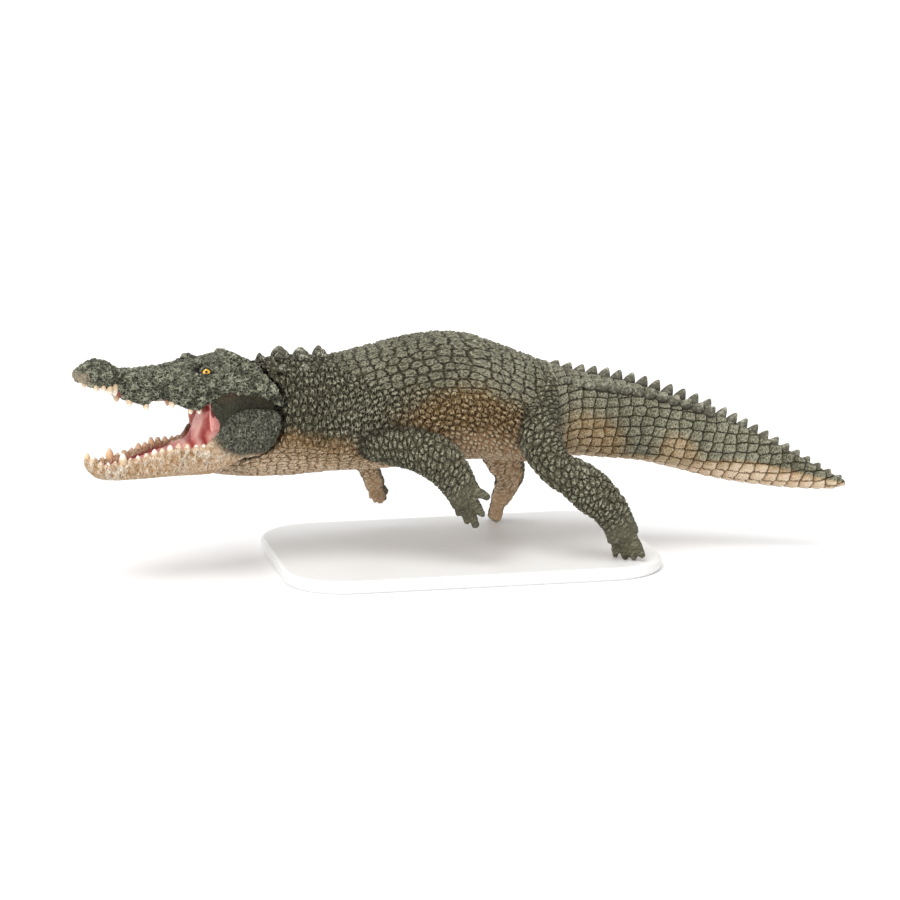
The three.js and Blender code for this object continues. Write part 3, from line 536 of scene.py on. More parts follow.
# %% The blank of the body
COLLAR_END = -42.5  # forward of this the neck's own solid gives the shape
TAIL_END = BODY[-1, 0]
SKIN_SPACING = 0.428  # of the remesh: as fine as keeps the skin under 200,000 triangles

stations = np.linspace(COLLAR_END, TAIL_END, 400)
round_angle = np.linspace(0, 2 * np.pi, 128, endpoint=False)
across, up = section_curve(stations, round_angle[None, :])
blank_pieces = [tube(on_section(stations[:, None], across, up)), *node_copy("neck")]
for rows, up_side, toes in LIMBS.values():
    blank_pieces.append(tube(limb_rings(rows, up_side, 40, 14)))
    for toe in toes:
        blank_pieces.append(tube(limb_rings(toe_rows(*toe), [0, 1, 0.2], 20, 8)))
body_skin = joined_mesh("body_skin", blank_pieces)
finished(body_skin, ("REMESH", {"mode": "VOXEL", "voxel_size": SKIN_SPACING * MM, "use_smooth_shade": True}))
without_crumbs(body_skin)
print("body skin", len(body_skin.data.polygons), "faces")

# %% [markdown]
# The scales have to follow the body, so each point of the skin gets an address: how far it is along the body's
# axis, and how far round it, measured over the skin in millimetres. On the limbs it is measured along and
# round the limb. Where a limb leaves the body, the remesh leaves a hard corner, and the points there are eased.

# %% Where each point of the body lies
section_x = np.linspace(BODY[0, 0], TAIL_END, 160)
fan = np.linspace(np.pi / 2, -np.pi / 2, 241)
fan_across, fan_up = section_curve(section_x, fan[None, :])
fan_top, fan_under = smooth_at(BODY, section_x)[:, :2].T
fan_middle = (fan_under + (fan_top - fan_under) * WIDEST)[:, None]
fan_turn = np.arctan2(fan_across, fan_up - fan_middle)
fan_arc = np.hypot(np.diff(fan_across, axis=1), np.diff(fan_up, axis=1)).cumsum(1)
fan_arc = np.hstack([np.zeros((len(section_x), 1)), fan_arc])
turn_steps = np.linspace(0, np.pi, 121)
arc_table = np.array([np.interp(turn_steps, turn, arc) for turn, arc in zip(fan_turn, fan_arc)])
axis_slope = np.gradient(fan_middle[:, 0], section_x)
axis_heading = np.gradient(spine_y(section_x), section_x)
axis_steps = np.diff(section_x) * np.sqrt(1 + axis_slope**2 + axis_heading**2)[1:]
axis_length = np.concatenate([[0], np.cumsum(axis_steps)])
LIMB_REACH = 14  # mm: only points of the skin this near to a limb's centreline are measured along it


def body_place(points):
    """x, distance along the axis, distances round from the top and from below, share of the way down, and how
    far out of the body a point is, where 1 is on its surface."""
    x = np.clip(points[:, 0], section_x[0], section_x[-1])
    top, under, half_width, squareness, taper = smooth_at(BODY, x).T
    lean = np.radians(smooth_at(TWIST, x)[:, 0])
    middle = (top + under) / 2
    y, z = points[:, 1] - spine_y(x), points[:, 2] - middle
    across, up = y * np.cos(lean) + z * np.sin(lean), middle - y * np.sin(lean) + z * np.cos(lean)
    centre = under + (top - under) * WIDEST
    rise = (up - centre) / np.where(up > centre, top - centre, centre - under)
    width = half_width * (1 - taper * np.clip(rise, 0, 0.97))
    out = (np.abs(across / width) ** squareness + np.abs(rise) ** squareness) ** (1 / squareness)
    turn = np.arctan2(np.abs(across), up - centre)
    row = (x - section_x[0]) / (section_x[1] - section_x[0])
    column = turn / turn_steps[1]
    i = np.clip(row.astype(int), 0, len(section_x) - 2)
    j = np.clip(column.astype(int), 0, len(turn_steps) - 2)
    u, v = row - i, column - j
    arc = ((arc_table[i, j] * (1 - v) + arc_table[i, j + 1] * v) * (1 - u)
           + (arc_table[i + 1, j] * (1 - v) + arc_table[i + 1, j + 1] * v) * u)
    slope = np.interp(x, section_x, axis_slope)
    along = np.interp(x, section_x, axis_length) + (up - centre) * slope / np.sqrt(1 + slope**2)
    from_below = np.interp(x, section_x, arc_table[:, -1]) - arc
    return x, along, arc, from_below, turn / np.pi, out


def limb_place(points):
    """For each point its nearest limb: how far along and round it is, and how far past the knuckles."""
    nearest = np.full(len(points), np.inf)
    along, round_it, toe = (np.zeros(len(points)) for _ in range(3))
    for rows, up_side, _ in LIMBS.values():
        spans = len(rows) - 1
        t = np.linspace(0, spans, spans * 10 + 1)
        centre, direction, wide, deep, radii = limb_frame(rows, up_side, t)
        lengths = np.concatenate([[0], np.linalg.norm(np.diff(centre, axis=0), axis=1).cumsum()])
        close = np.flatnonzero(np.min(np.abs(points[:, None, :] - centre[None, ::10]).max(2), 1) < LIMB_REACH)
        p = points[close]
        gap = np.linalg.norm(p[:, None] - centre[None], axis=2)
        k = gap.argmin(1)
        away = p - centre[k]
        a, b = (away * wide[k]).sum(1) / radii[k, 0], (away * deep[k]).sum(1) / radii[k, 1]
        reach = np.hypot(a, b) + np.abs((away * direction[k]).sum(1)) / radii[k].mean(1)
        better = reach < nearest[close]
        take, k, away, a, b = close[better], k[better], away[better], a[better], b[better]
        nearest[take] = reach[better]
        along[take] = lengths[k] + (away * direction[k]).sum(1)
        round_it[take] = np.arctan2(b, a) * radii[k].mean(1)
        toe[take] = along[take] - lengths[-1]
    return along, round_it, toe


print("the axis is", round(float(axis_length[-1]), 1), "mm long")

# %% Corners eased where the limbs leave the body
skin_points = points_of(body_skin)
skin_edges = neighbours(body_skin)
first_out = body_place(skin_points)[-1]
crook = step_between(first_out, 1.0, 1.06) * step_between(first_out, 1.5, 1.15)
on_toe = step_between(limb_place(skin_points)[2], -1.5, 0.5)
skin_points = relaxed(skin_points, skin_edges, 3, where=1 - 0.7 * on_toe)
skin_points = relaxed(skin_points, skin_edges, 14, where=(0.15 + 0.85 * crook) * (1 - on_toe))
place_points(body_skin, skin_points)
skin_normals = relaxed(normals_of(body_skin), skin_edges, 4)
print("limb roots eased at", int((crook > 0.5).sum()), "points")

# %% [markdown]
# A crocodile's scales change from part to part: rows of keeled ovals on the back, small pebbles on the neck
# and flanks, flat oblongs on the throat and belly, square whorls round the tail, and slanting rows on the
# limbs. Each point of the skin gets its place along and round the body, and how much it belongs to each of
# those parts. The rules for the scales read these numbers, so the pattern follows the animal and not the room.

# %% What each point of the body belongs to
skin_x, skin_along, skin_round, from_below, skin_down, skin_out = body_place(skin_points)
limb_along, limb_round, past_knuckles = limb_place(skin_points)
on_limb = step_between(skin_out, 1.02, 1.16)
soft_limb = relaxed(on_limb[:, None], skin_edges, 25)[:, 0]
from_casting = np.full(len(skin_points), 99.0)
head_trees = [BVHTree.FromPolygons(points, faces) for points, faces in node_copy("head", "lower_jaw")]
for i in np.flatnonzero(skin_x < -24):
    from_casting[i] = min(tree.find_nearest(skin_points[i])[3] for tree in head_trees)
skin_points -= skin_normals * (0.55 * step_between(from_casting, 2.6, 0.4))[:, None]  # room for skull and jaw
place_points(body_skin, skin_points)
on_tail = step_between(skin_x, 17, 24) * (1 - on_limb)
on_neck = step_between(skin_x, -24, -31) * step_between(skin_down, 0.75, 0.6) * (1 - on_limb)
back_edge = np.interp(skin_x, [-40, -31, -20, 0, 18, 26], [0.0, 0.16, 0.34, 0.4, 0.42, 0.36])
on_back = step_between(skin_down, back_edge + 0.06, back_edge - 0.06) * step_between(skin_x, -34, -29)
on_back *= (1 - on_limb) * (1 - on_tail)
belly_edge = np.interp(skin_x, [-50, -35, -24, -10, 5, 15, 22], [0.6, 0.62, 0.7, 0.74, 0.72, 0.7, 0.66])
on_belly = step_between(skin_down, belly_edge - 0.05, belly_edge + 0.05) * (1 - on_limb) * (1 - on_tail)
PLACES = {
    "along": skin_along, "round": skin_round, "from_below": from_below,
    "limb_along": limb_along, "limb_round": limb_round,
    "on_limb": on_limb, "on_tail": on_tail, "on_neck": on_neck, "on_back": on_back, "on_belly": on_belly,
    "on_foot": step_between(past_knuckles, -6.5, -1.5) * on_limb,
    # painted shade: how near a point is to the seam where the skin meets the skull and the jaw
    "at_seam": step_between(from_casting, 0.85, 0.25) * step_between(skin_points[:, 2], 43, 40),
}
for name, values in PLACES.items():
    paint_on(body_skin, name, values)
print({name: round(float(values.mean()), 2) for name, values in PLACES.items() if name.startswith("on_")})

# %% [markdown]
# The paint on such a toy is three coats. A spray of dark olive covers the top, fading into beige below, with
# ochre and tan patches on the flanks and tail. A thin dark wash then runs into the grooves. Last, a nearly dry
# brush leaves pale paint on the high parts. Painted shade darkens the folds where the limbs leave the body, and
# near black painted shade fills the seam behind the head. The sprayed coat and the painted shade of the folds
# change slowly, so they are worked out for each point of the mesh here. The wash and the dry brush follow the
# scales and belong in the material.

# %% Where the sprayed coats and the painted shade of the folds lie
def patch(x, down, middle, reach):
    """A soft round patch on the skin, given in mm along and share of the way down."""
    return np.exp(-(((x - middle[0]) / reach[0]) ** 2 + ((down - middle[1]) / reach[1]) ** 2))


pale_edge = np.interp(
    skin_x, [-50, -40, -30, -18, -8, 4, 14, 24, 34, 44, 54, 58, 61, 65, 70, 76, 84, 90],
    [0.60, 0.62, 0.68, 0.72, 0.62, 0.59, 0.62, 0.72, 0.76, 0.76, 0.73, 0.70, 0.65, 0.58, 0.53, 0.49, 0.45,
     0.39])
pale_blur = np.interp(skin_x, [-28, -14, 40, 60], [2.0, 1.0, 1.0, 1.7])
pale_body = step_between(skin_down, pale_edge - 0.13 * pale_blur, pale_edge + 0.10 * pale_blur)
inner_side = -np.sign(skin_points[:, 1]) * skin_normals[:, 1] * 0.9 - skin_normals @ [0.25, 0, 0.2]
pale_limb = step_between(inner_side, 0.25, 0.6)
pale_body *= np.interp(skin_x, [-30, -12, 30, 50], [0.78, 0.84, 0.88, 1.0])
pale = pale_body * (1 - soft_limb) + pale_limb * soft_limb
tail_tan = patch(skin_x, skin_down, (30, 0.64), (7.5, 0.26)) + patch(skin_x, skin_down, (50.3, 0.66), (5, 0.26))
tan = patch(skin_x, skin_down, (-1, 0.55), (17, 0.17)) + tail_tan
tan = np.clip(tan * 1.3, 0, 1) * (1 - soft_limb)
pale = np.maximum(pale, np.clip(tail_tan, 0, 1) * 0.35 * (1 - soft_limb))
pale = np.maximum(pale, step_between(from_casting, 3.0, 1.5) * step_between(skin_points[:, 2], 31, 28))
# painted shade in the folds where the limbs leave the body, on their lower side
limb_fold = 4 * soft_limb * (1 - soft_limb) * step_between(skin_down, 0.3, 0.55)
for name, values in {"pale": pale, "limb_fold": limb_fold, "tan": tan}.items():
    paint_on(body_skin, name, values)
print("share under pale paint", round(float(pale.mean()), 2), "under tan", round(float(tan.mean()), 2))

# %% [markdown]
# One Voronoi texture gives each kind of scale. On a grid stretched to the scale's length and width, and with
# its points only a little out of place, its cells are rows of near rectangles. With the points moved more,
# they are pebbles. The distance to the cell's edge makes the groove, and the distance to its middle the dome.
# Each scale of the back also has a raised ring, worn down here and there, and the whole hide has crinkles that
# are too fine for the mesh, so they are left to the material.

# %% The rules for the scales
KINDS = {  # length and width in mm, how irregular, width of the groove, share of plateau, dome and lean
    "back": (2.9, 2.0, 0.5, 0.09, 0.45, 0.1, 0.0),
    "neck": (1.2, 2.1, 0.95, 0.12, 0.3, 0.5, 0.0),
    "flank": (1.65, 1.3, 0.75, 0.12, 0.2, 0.65, 0.0),
    "belly": (2.3, 1.15, 0.75, 0.07, 0.5, 0.0, 0.25),
    "tail": (2.95, 2.3, 0.3, 0.05, 0.7, 0.0, 0.4),
    "limb": (1.25, 2.0, 0.9, 0.10, 0.35, 0.4, 0.4),
}


def scales(graph, kind, along, round_it):
    """The height of one kind of scale, from 0 to 1, its grooves, and how far each point is from its middle."""
    length, width, jitter, groove, flat, domed, lean = KINDS[kind]
    at = graph.vector(along / length, round_it / width)
    edge = graph.cells(at, "DISTANCE_TO_EDGE", jitter, "2D")
    cell = graph.cells(at, "F1", jitter, "2D", "Position")
    middle = Field(graph, cell.socket.node.outputs["Distance"])
    height = graph.smooth(edge, 0.0, groove * 2) * flat + graph.smooth(middle, 0.5, 0.15) * domed
    if lean:
        height = height + (graph.part(at, 0) - graph.part(cell, 0) + 0.4) * lean
    return height, graph.smooth(edge, groove, 0.01), middle


print("kinds of scale:", ", ".join(KINDS))

# %% The relief and the crinkles of the whole hide
def hide_relief(graph):
    """The whole body's relief and its grooves, each kind of scale where it belongs."""
    along, round_it, from_below = (graph.painted(name) for name in ("along", "round", "from_below"))
    limb_along, limb_round = graph.painted("limb_along"), graph.painted("limb_round")
    here = graph.vector(along, round_it)
    wander = graph.noise(here, 0.35, 1.0) - 0.5
    shiver = graph.noise(here, 1.1, 1.0) - 0.5

    def laid(under, over, mask):
        """One kind of scale over what is there, with an uneven edge where they meet."""
        share = graph.smooth(graph.painted(mask) + shiver * 0.25, 0.42, 0.58)
        return [graph.blend(a, b, share) for a, b in zip(under, over)]

    result = scales(graph, "flank", along + wander * 1.2, round_it + shiver * 0.5)[:2]
    result = laid(result, scales(graph, "neck", along + wander, round_it + shiver * 0.4), "on_neck")
    height, groove, middle = scales(graph, "back", along + shiver * 0.5, round_it + wander * 0.5)
    worn_down = graph.noise(here, 2.6, 2.0)
    middle = middle + (worn_down - 0.5) * 0.3
    ring = graph.smooth(middle, 0.2, 0.3) * graph.smooth(middle, 0.44, 0.33)
    ringed = height * 0.6 + ring * graph.smooth(worn_down, 0.3, 0.6, 0.2, 0.6)
    result = laid(result, (ringed, groove), "on_back")
    result = laid(result, scales(graph, "belly", along + wander, round_it + shiver * 0.5), "on_belly")
    result = laid(result, scales(graph, "tail", along + shiver * 0.3, from_below + shiver * 0.4), "on_tail")
    slanted, crosswise = limb_along - limb_round * 0.4 + shiver * 0.6, limb_round + limb_along * 0.35
    result = laid(result, scales(graph, "limb", slanted, crosswise), "on_limb")
    calm = graph.painted("on_foot")
    height, groove = result
    return graph.blend(height, 0.55, calm * 0.7), groove * (1 - calm * 0.8)


def crinkled(graph, along, round_it, length, width):
    """Fine crinkles that run along or round the body: 1 on thin ridges, 0 in the pits between them."""
    at = graph.vector(along / length, round_it / width)
    sway = graph.noise(at, 0.8, 1.0) - 0.5
    at = graph.node("ShaderNodeVectorMath", {"operation": "ADD"}, {0: at, 1: graph.vector(sway, sway * -0.8)})
    return graph.smooth(graph.cells(at, "DISTANCE_TO_EDGE", 1.0, "2D"), 0.34, 0.0)


def hide_crinkles(graph):
    """Crinkles too fine for the mesh: along the back and belly, round the neck and flanks, and on the limbs."""
    along, round_it = graph.painted("along"), graph.painted("round")
    upright = crinkled(graph, along, round_it, 0.62, 1.3)
    lengthwise = crinkled(graph, along, round_it, 1.35, 0.68)
    on_limb = crinkled(graph, graph.painted("limb_along"), graph.painted("limb_round"), 0.75, 0.95)
    back_or_belly = graph.painted("on_back") * 0.8 + graph.painted("on_belly")
    flat_parts = graph.maths("MAXIMUM", back_or_belly, graph.painted("pale"))
    return graph.blend(graph.blend(upright, lengthwise, flat_parts), on_limb, graph.painted("on_limb"))


def creases(graph, at, scale, width=0.07):
    """Thin winding wrinkles in three dimensions: 0 in a wrinkle and 1 between them."""
    level = graph.noise(at, scale, 2.0, 0.55)
    return graph.smooth(graph.maths("ABSOLUTE", level - 0.5), 0.0, width)


print("rules:", hide_relief.__name__, hide_crinkles.__name__, creases.__name__)

# %% [markdown]
# A Geometry Nodes tree raises the scales: each point moves along its normal by the relief there. Doing it in
# the mesh, and not only in the shading, gives the outline its bumps and the grooves their real shadows.

# %% Geometry Nodes trees with named inputs
def geometry_graph(name, inputs):
    """A new geometry tree, its inputs as fields, and the value for each input by its socket's identifier."""
    tree = bpy.data.node_groups.new(name, "GeometryNodeTree")
    tree.interface.new_socket("Geometry", in_out="INPUT", socket_type="NodeSocketGeometry")
    values = {}
    for label, value in inputs.items():
        socket = tree.interface.new_socket(label, in_out="INPUT", socket_type="NodeSocketFloat")
        values[socket.identifier] = value
    tree.interface.new_socket("Geometry", in_out="OUTPUT", socket_type="NodeSocketGeometry")
    graph, start = Graph(tree), tree.nodes.new("NodeGroupInput")
    return graph, {label: Field(graph, start.outputs[label]) for label in ("Geometry", *inputs)}, values


def through_tree(obj, graph, result, values):
    """Sends the object's mesh through a tree that ends in result, and keeps what comes out as a plain mesh."""
    graph.tree.links.new(result.socket, graph.tree.nodes.new("NodeGroupOutput").inputs["Geometry"])
    modifier = obj.modifiers.new(graph.tree.name, "NODES")
    modifier.node_group = graph.tree
    for identifier, value in values.items():
        modifier[identifier] = value
    return finished(obj)


print("helpers:", geometry_graph.__name__, through_tree.__name__)

# %% The scales raised in the mesh
def grown(obj, name, relief, depth_mm):
    """Moves the points of obj along their normals by relief, a rule from 0 to 1, times a depth."""
    graph, given, values = geometry_graph(name, {"Depth of the relief": depth_mm * MM})
    rule = relief(graph)
    height = ((rule if isinstance(rule, Field) else rule[0]) - 0.5) * given["Depth of the relief"]
    normal = graph.node("GeometryNodeInputNormal")
    offset = graph.node("ShaderNodeVectorMath", {"operation": "SCALE"}, {0: normal, "Scale": height})
    moved = graph.node("GeometryNodeSetPosition", None, {"Geometry": given["Geometry"], "Offset": offset})
    return through_tree(obj, graph, moved, values)


grown(body_skin, "raise_scales", hide_relief, depth_mm=0.7)
skin_points = points_of(body_skin)
skin_points[:, 2] = np.maximum(skin_points[:, 2], FLOOR + 0.02)
place_points(body_skin, skin_points)
print("body skin box mm", (skin_points.min(0) + DRAWN_AT).round(2), (skin_points.max(0) + DRAWN_AT).round(2))

# %% [markdown]
# The hide's material lays the same three coats over the sprayed colours. The wash is darker and browner where
# the relief is low, the dry brush paler where it is high, and fine noise breaks up both, as real brushwork
# does. The finish is matt, and a little shinier where the wash has pooled.

# %% Paint on a shader
def paint_material(name):
    """A new material, its graph and its shader."""
    material = bpy.data.materials.new(name)
    material.use_nodes = True
    tree = material.node_tree
    return material, Graph(tree), tree.nodes["Principled BSDF"]


def coated(graph, shader, sockets, bump=None):
    """Gives the shader's sockets their rules or plain numbers, and a bump as height, reach in mm and strength.
    A plain number is set on the socket itself, because an export may drop a socket that is fed by a node."""
    if bump:
        height, reach, strength = bump
        sockets = {**sockets, "Normal": graph.node(
            "ShaderNodeBump", None, {"Height": height, "Distance": reach * MM, "Strength": strength})}
    for name, value in sockets.items():
        if isinstance(value, Field):
            graph.tree.links.new(value.socket, shader.inputs[name])
        else:
            shader.inputs[name].default_value = value


def wear(obj, material):
    """Gives the object's mesh this material alone."""
    obj.data.materials.clear()
    obj.data.materials.append(material)
    return obj


print("helpers:", paint_material.__name__, coated.__name__, wear.__name__)

# %% The painted hide
OLIVE, OLIVE_DRY, OLIVE_WASH = (0.098, 0.091, 0.055), (0.47, 0.46, 0.335), (0.016, 0.010, 0.004)
BEIGE, BEIGE_DRY, BEIGE_WASH = (0.54, 0.36, 0.21), (0.84, 0.71, 0.54), (0.19, 0.095, 0.031)
OCHRE, OCHRE_DRY, OCHRE_WASH = (0.205, 0.125, 0.048), (0.60, 0.49, 0.31), (0.040, 0.018, 0.004)

hide, graph, shader = paint_material("painted_hide")
relief, edge_groove = hide_relief(graph)
crinkles = hide_crinkles(graph)
place = graph.node("ShaderNodeTexCoord", None, None, "Object")
mottle = graph.noise(place, 260.0, 3.0, 0.6)
fine = graph.noise(place, 2600.0, 2.0, 0.65)
broad = graph.noise(place, 70.0, 2.0)
pale_coat, tan_coat = graph.painted("pale"), graph.painted("tan")
pale_share = graph.smooth(pale_coat + (mottle - 0.5) * 0.8, 0.15, 0.9)
tan_share = graph.maths("MAXIMUM", tan_coat, graph.smooth(pale_coat, 0.0, 0.45) * 0.9)
tan_share = graph.smooth(tan_share + (mottle - 0.5) * 0.4, 0.15, 0.85)
base = graph.tint(graph.tint(OLIVE, OCHRE, tan_share), BEIGE, pale_share)
dry = graph.tint(graph.tint(OLIVE_DRY, OCHRE_DRY, tan_share), BEIGE_DRY, pale_share)
wash = graph.tint(graph.tint(OLIVE_WASH, OCHRE_WASH, tan_share), BEIGE_WASH, pale_share)
calm = graph.maths("MAXIMUM", graph.painted("on_tail") * 0.6, graph.painted("on_foot") * 0.6)
calm = graph.maths("MAXIMUM", calm, graph.painted("on_limb") * 0.35)
liveliness = 1 - calm - pale_share * 0.5 + graph.painted("on_neck") * 0.1 - graph.painted("on_back") * 0.35
relief_share = graph.blend(0.42, 0.6, graph.maths("MAXIMUM", graph.painted("on_back"), pale_share * 0.8))
roughness = graph.blend(0.4, 0.6, graph.maths("MAXIMUM", graph.painted("on_tail"), pale_share))
skin_height = relief * relief_share + (crinkles - 0.35) * liveliness * 0.44 + (fine - 0.5) * roughness + 0.14
# the dry brush is paler on the top of the back towards the hips, and fainter on the limbs and neck
dry_brush_shift = graph.painted("on_back") * graph.smooth(graph.painted("along"), 56.0, 70.0, 0.05, 0.14)
dry_brush_shift = dry_brush_shift - graph.painted("on_limb") * 0.06 - graph.painted("on_neck") * 0.09
crown = graph.smooth(skin_height + (broad - 0.5) * 0.35 + dry_brush_shift, 0.34, 0.72)
pits = graph.smooth(skin_height, 0.26, 0.08)
groove = graph.maths("MAXIMUM", edge_groove * graph.smooth(crinkles, 1.0, 0.2, 0.35, 0.9), pits)
pooled = graph.smooth(graph.noise(place, 480.0, 2.0), 0.36, 0.6, 0.5, 1.0)
tail_or_limb = graph.maths("MAXIMUM", graph.painted("on_tail"), graph.painted("on_limb"))
groove = groove * graph.blend(1.0, pooled, tail_or_limb)
colour = graph.tint(graph.tint(base, dry, crown * 0.75), wash, groove * graph.blend(0.88, 0.6, pale_share))
# painted shade, in the colour of the wash, in the folds where the limbs leave the body
colour = graph.tint(colour, wash, graph.painted("limb_fold") * 0.7)
# painted shade: near black in the seam where the skin meets the skull and the jaw
colour = graph.tint(colour, (0.008, 0.007, 0.004), graph.painted("at_seam") * (0.9 - pale_coat * 0.65))
coated(graph, shader, {
    "Base Color": colour, "Roughness": graph.smooth(groove, 0.0, 1.0, 0.52, 0.45), "Specular IOR Level": 0.3,
}, bump=(skin_height - edge_groove * 0.25, 1.2, 1.0))
wear(body_skin, hide)
print("hide nodes:", len(hide.node_tree.nodes))

# %% [markdown]
# The skull is a casting of its own on the real toy, pressed into the collar, so it keeps its seam. Its
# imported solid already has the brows, nostrils, eye sockets, inset cheeks and the room for the jaw, so a copy
# of it is remeshed finely and eased until its facets are gone. Building it again from sections would lose
# the places where the jaw and tongue pass.

# %% The blank of the skull and the head's own frame
HEAD_AT = np.array([-40.0, 0.0, 36.0])
HEAD_TURN = np.array(Matrix.Rotation(math.radians(11), 3, "Z") @ Matrix.Rotation(math.radians(-4), 3, "X"))
HEAD_LEVEL = np.array([0.0, 0.0, 36.0])


def in_head(points):
    """Drawing points as the head's own: x from the snout back, y across, z up."""
    return (points - HEAD_AT) @ HEAD_TURN + HEAD_LEVEL


def from_head(points):
    """The head's own points as drawing points."""
    return (np.asarray(points, float) - HEAD_LEVEL) @ HEAD_TURN.T + HEAD_AT


def casting(name, node, spacing, ease):
    """A fine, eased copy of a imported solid."""
    made = joined_mesh(name, node_copy(node))
    finished(made, ("REMESH", {"mode": "VOXEL", "voxel_size": spacing * MM, "use_smooth_shade": True}))
    points = relaxed(points_of(made), neighbours(made), ease)
    place_points(made, points)
    return made, points


skull, skull_points = casting("skull", "head", spacing=0.235, ease=7)
print("skull", len(skull.data.polygons), "faces")

# %% [markdown]
# The head and the jaw have tables too, drawn with the snout level and straight ahead, because a head is easier
# to draw when it is the same on both sides. On the figure it is turned and tilted a little. The tables say
# where the lips, gums and teeth are, so the paint of the mouth and the rows of teeth follow them.

# %% Tables of the head and jaw, in millimetres in the head's frame
HEAD = np.array([  # x, top, half-width there, widest height, half-width there, lip, half-width there, palate
    [-50.5, 49.4, 0.8, 48.6, 1.6, 47.9, 1.0, 48.2], [-49.9, 50.3, 1.9, 48.5, 3.2, 47.0, 2.5, 48.0],
    [-48.7, 50.9, 2.8, 48.4, 4.6, 46.3, 3.9, 47.8], [-46.8, 51.5, 3.3, 48.4, 5.4, 46.0, 4.8, 47.6],
    [-44.8, 51.9, 3.3, 48.2, 5.6, 45.7, 5.0, 47.4], [-43.2, 51.3, 3.0, 48.0, 5.2, 45.5, 4.6, 47.0],
    [-42.2, 50.5, 2.7, 47.8, 4.4, 46.0, 3.8, 46.8], [-41.2, 49.8, 2.7, 47.0, 4.9, 43.0, 4.3, 46.2],
    [-39.8, 49.2, 2.9, 46.3, 5.7, 42.3, 5.1, 45.6], [-36.6, 49.0, 3.2, 45.6, 6.8, 41.0, 6.2, 45.0],
    [-33.6, 49.2, 3.5, 45.8, 7.3, 42.5, 6.8, 45.0], [-30.5, 49.4, 3.9, 45.7, 8.1, 41.6, 7.5, 45.0],
    [-27.5, 49.5, 4.3, 45.4, 9.0, 40.0, 8.5, 45.0], [-24.3, 49.7, 4.7, 45.2, 9.9, 39.5, 9.4, 45.0],
    [-21.6, 50.0, 5.1, 45.3, 10.6, 42.0, 10.4, 45.0], [-18.0, 50.8, 5.5, 45.4, 11.3, 42.9, 11.2, 44.4],
    [-14.2, 51.3, 5.8, 45.2, 11.9, 42.7, 11.8, 43.6], [-10.6, 50.2, 6.0, 44.6, 12.3, 41.9, 12.2, 42.3],
    [-8.2, 48.3, 5.6, 43.4, 12.3, 40.9, 12.1, 41.1], [-6.2, 45.4, 5.0, 42.2, 11.9, 39.7, 11.7, 40.0],
    [-4.9, 42.2, 4.4, 41.2, 11.0, 39.5, 10.8, 39.8],
])
JAW = np.array([  # x, rim, half-width of the rim, widest height, half-width there, underside, half-width there
    [-48.5, 29.2, 1.0, 28.4, 1.5, 27.4, 0.9], [-48.0, 29.1, 2.4, 27.8, 2.9, 26.3, 1.6],
    [-46.7, 28.3, 4.1, 27.0, 4.7, 25.1, 2.6], [-44.8, 28.1, 5.1, 26.8, 5.7, 24.5, 3.2],
    [-41.8, 28.5, 5.3, 26.9, 5.9, 24.2, 3.4], [-38.6, 29.0, 5.5, 27.2, 6.1, 24.2, 3.6],
    [-34.4, 29.9, 6.3, 27.4, 6.9, 24.2, 4.2], [-30.2, 30.9, 7.5, 27.8, 8.1, 24.3, 5.0],
    [-26.4, 30.9, 8.7, 28.2, 9.3, 24.3, 5.8], [-23.6, 31.2, 9.7, 28.8, 10.3, 24.3, 6.6],
    [-21.5, 33.6, 10.4, 29.6, 11.1, 24.5, 7.4], [-19.4, 36.0, 10.8, 31.2, 11.7, 25.1, 8.2],
    [-16.9, 38.2, 11.0, 33.0, 12.2, 26.6, 9.4], [-14.4, 39.1, 11.1, 34.4, 12.5, 27.8, 10.2],
    [-11.4, 39.1, 11.1, 35.0, 12.5, 27.95, 10.4], [-9.0, 38.8, 11.1, 35.2, 12.4, 29.1, 10.6],
    [-7.2, 38.5, 11.0, 35.3, 12.1, 30.9, 10.7], [-6.3, 38.0, 10.9, 35.4, 11.7, 32.9, 10.8],
    [-5.9, 36.9, 10.8, 35.5, 11.4, 34.6, 10.8],
])
UPPER_TEETH = [  # x, height, radius
    [-47.2, 1.0, 0.6], [-45.5, 0.7, 0.55], [-44.0, 1.5, 0.75], [-42.7, 2.1, 0.85], [-39.6, 1.0, 0.7],
    [-36.1, 0.9, 0.7], [-33.4, 0.45, 0.5], [-30.3, 1.1, 0.72], [-26.4, 0.7, 0.6], [-24.5, 0.6, 0.6],
]
LOWER_TEETH = [
    [-47.9, 1.6, 0.7], [-46.6, 0.9, 0.6], [-45.1, 0.85, 0.6], [-43.5, 0.85, 0.6], [-41.7, 2.3, 0.95],
    [-39.9, 0.8, 0.6], [-38.2, 0.95, 0.65], [-36.3, 0.95, 0.65], [-34.5, 1.4, 0.8], [-32.8, 1.05, 0.7],
    [-31.1, 1.3, 0.8], [-29.3, 1.05, 0.75], [-27.4, 1.1, 0.75], [-25.5, 1.0, 0.7], [-23.9, 0.85, 0.65],
]
HINGE = {"x": -13.4, "z": 35.3, "disc": 7.6, "half_width": 9.2}
EYE = {"x": -21.9, "y": 6.6, "z": 47.6, "radius": 1.7}
print("teeth", 2 * (len(UPPER_TEETH) + len(LOWER_TEETH)))

# %% [markdown]
# The skull wears several paints: dark olive outside, pink on the palate, a darker plate inset at each cheek,
# black round the eyes, and pale at the tip of the snout. Masks from the tables say where each of them goes.
# Brows, temples and the ridges of the snout are low swellings along lines, added to the casting here.

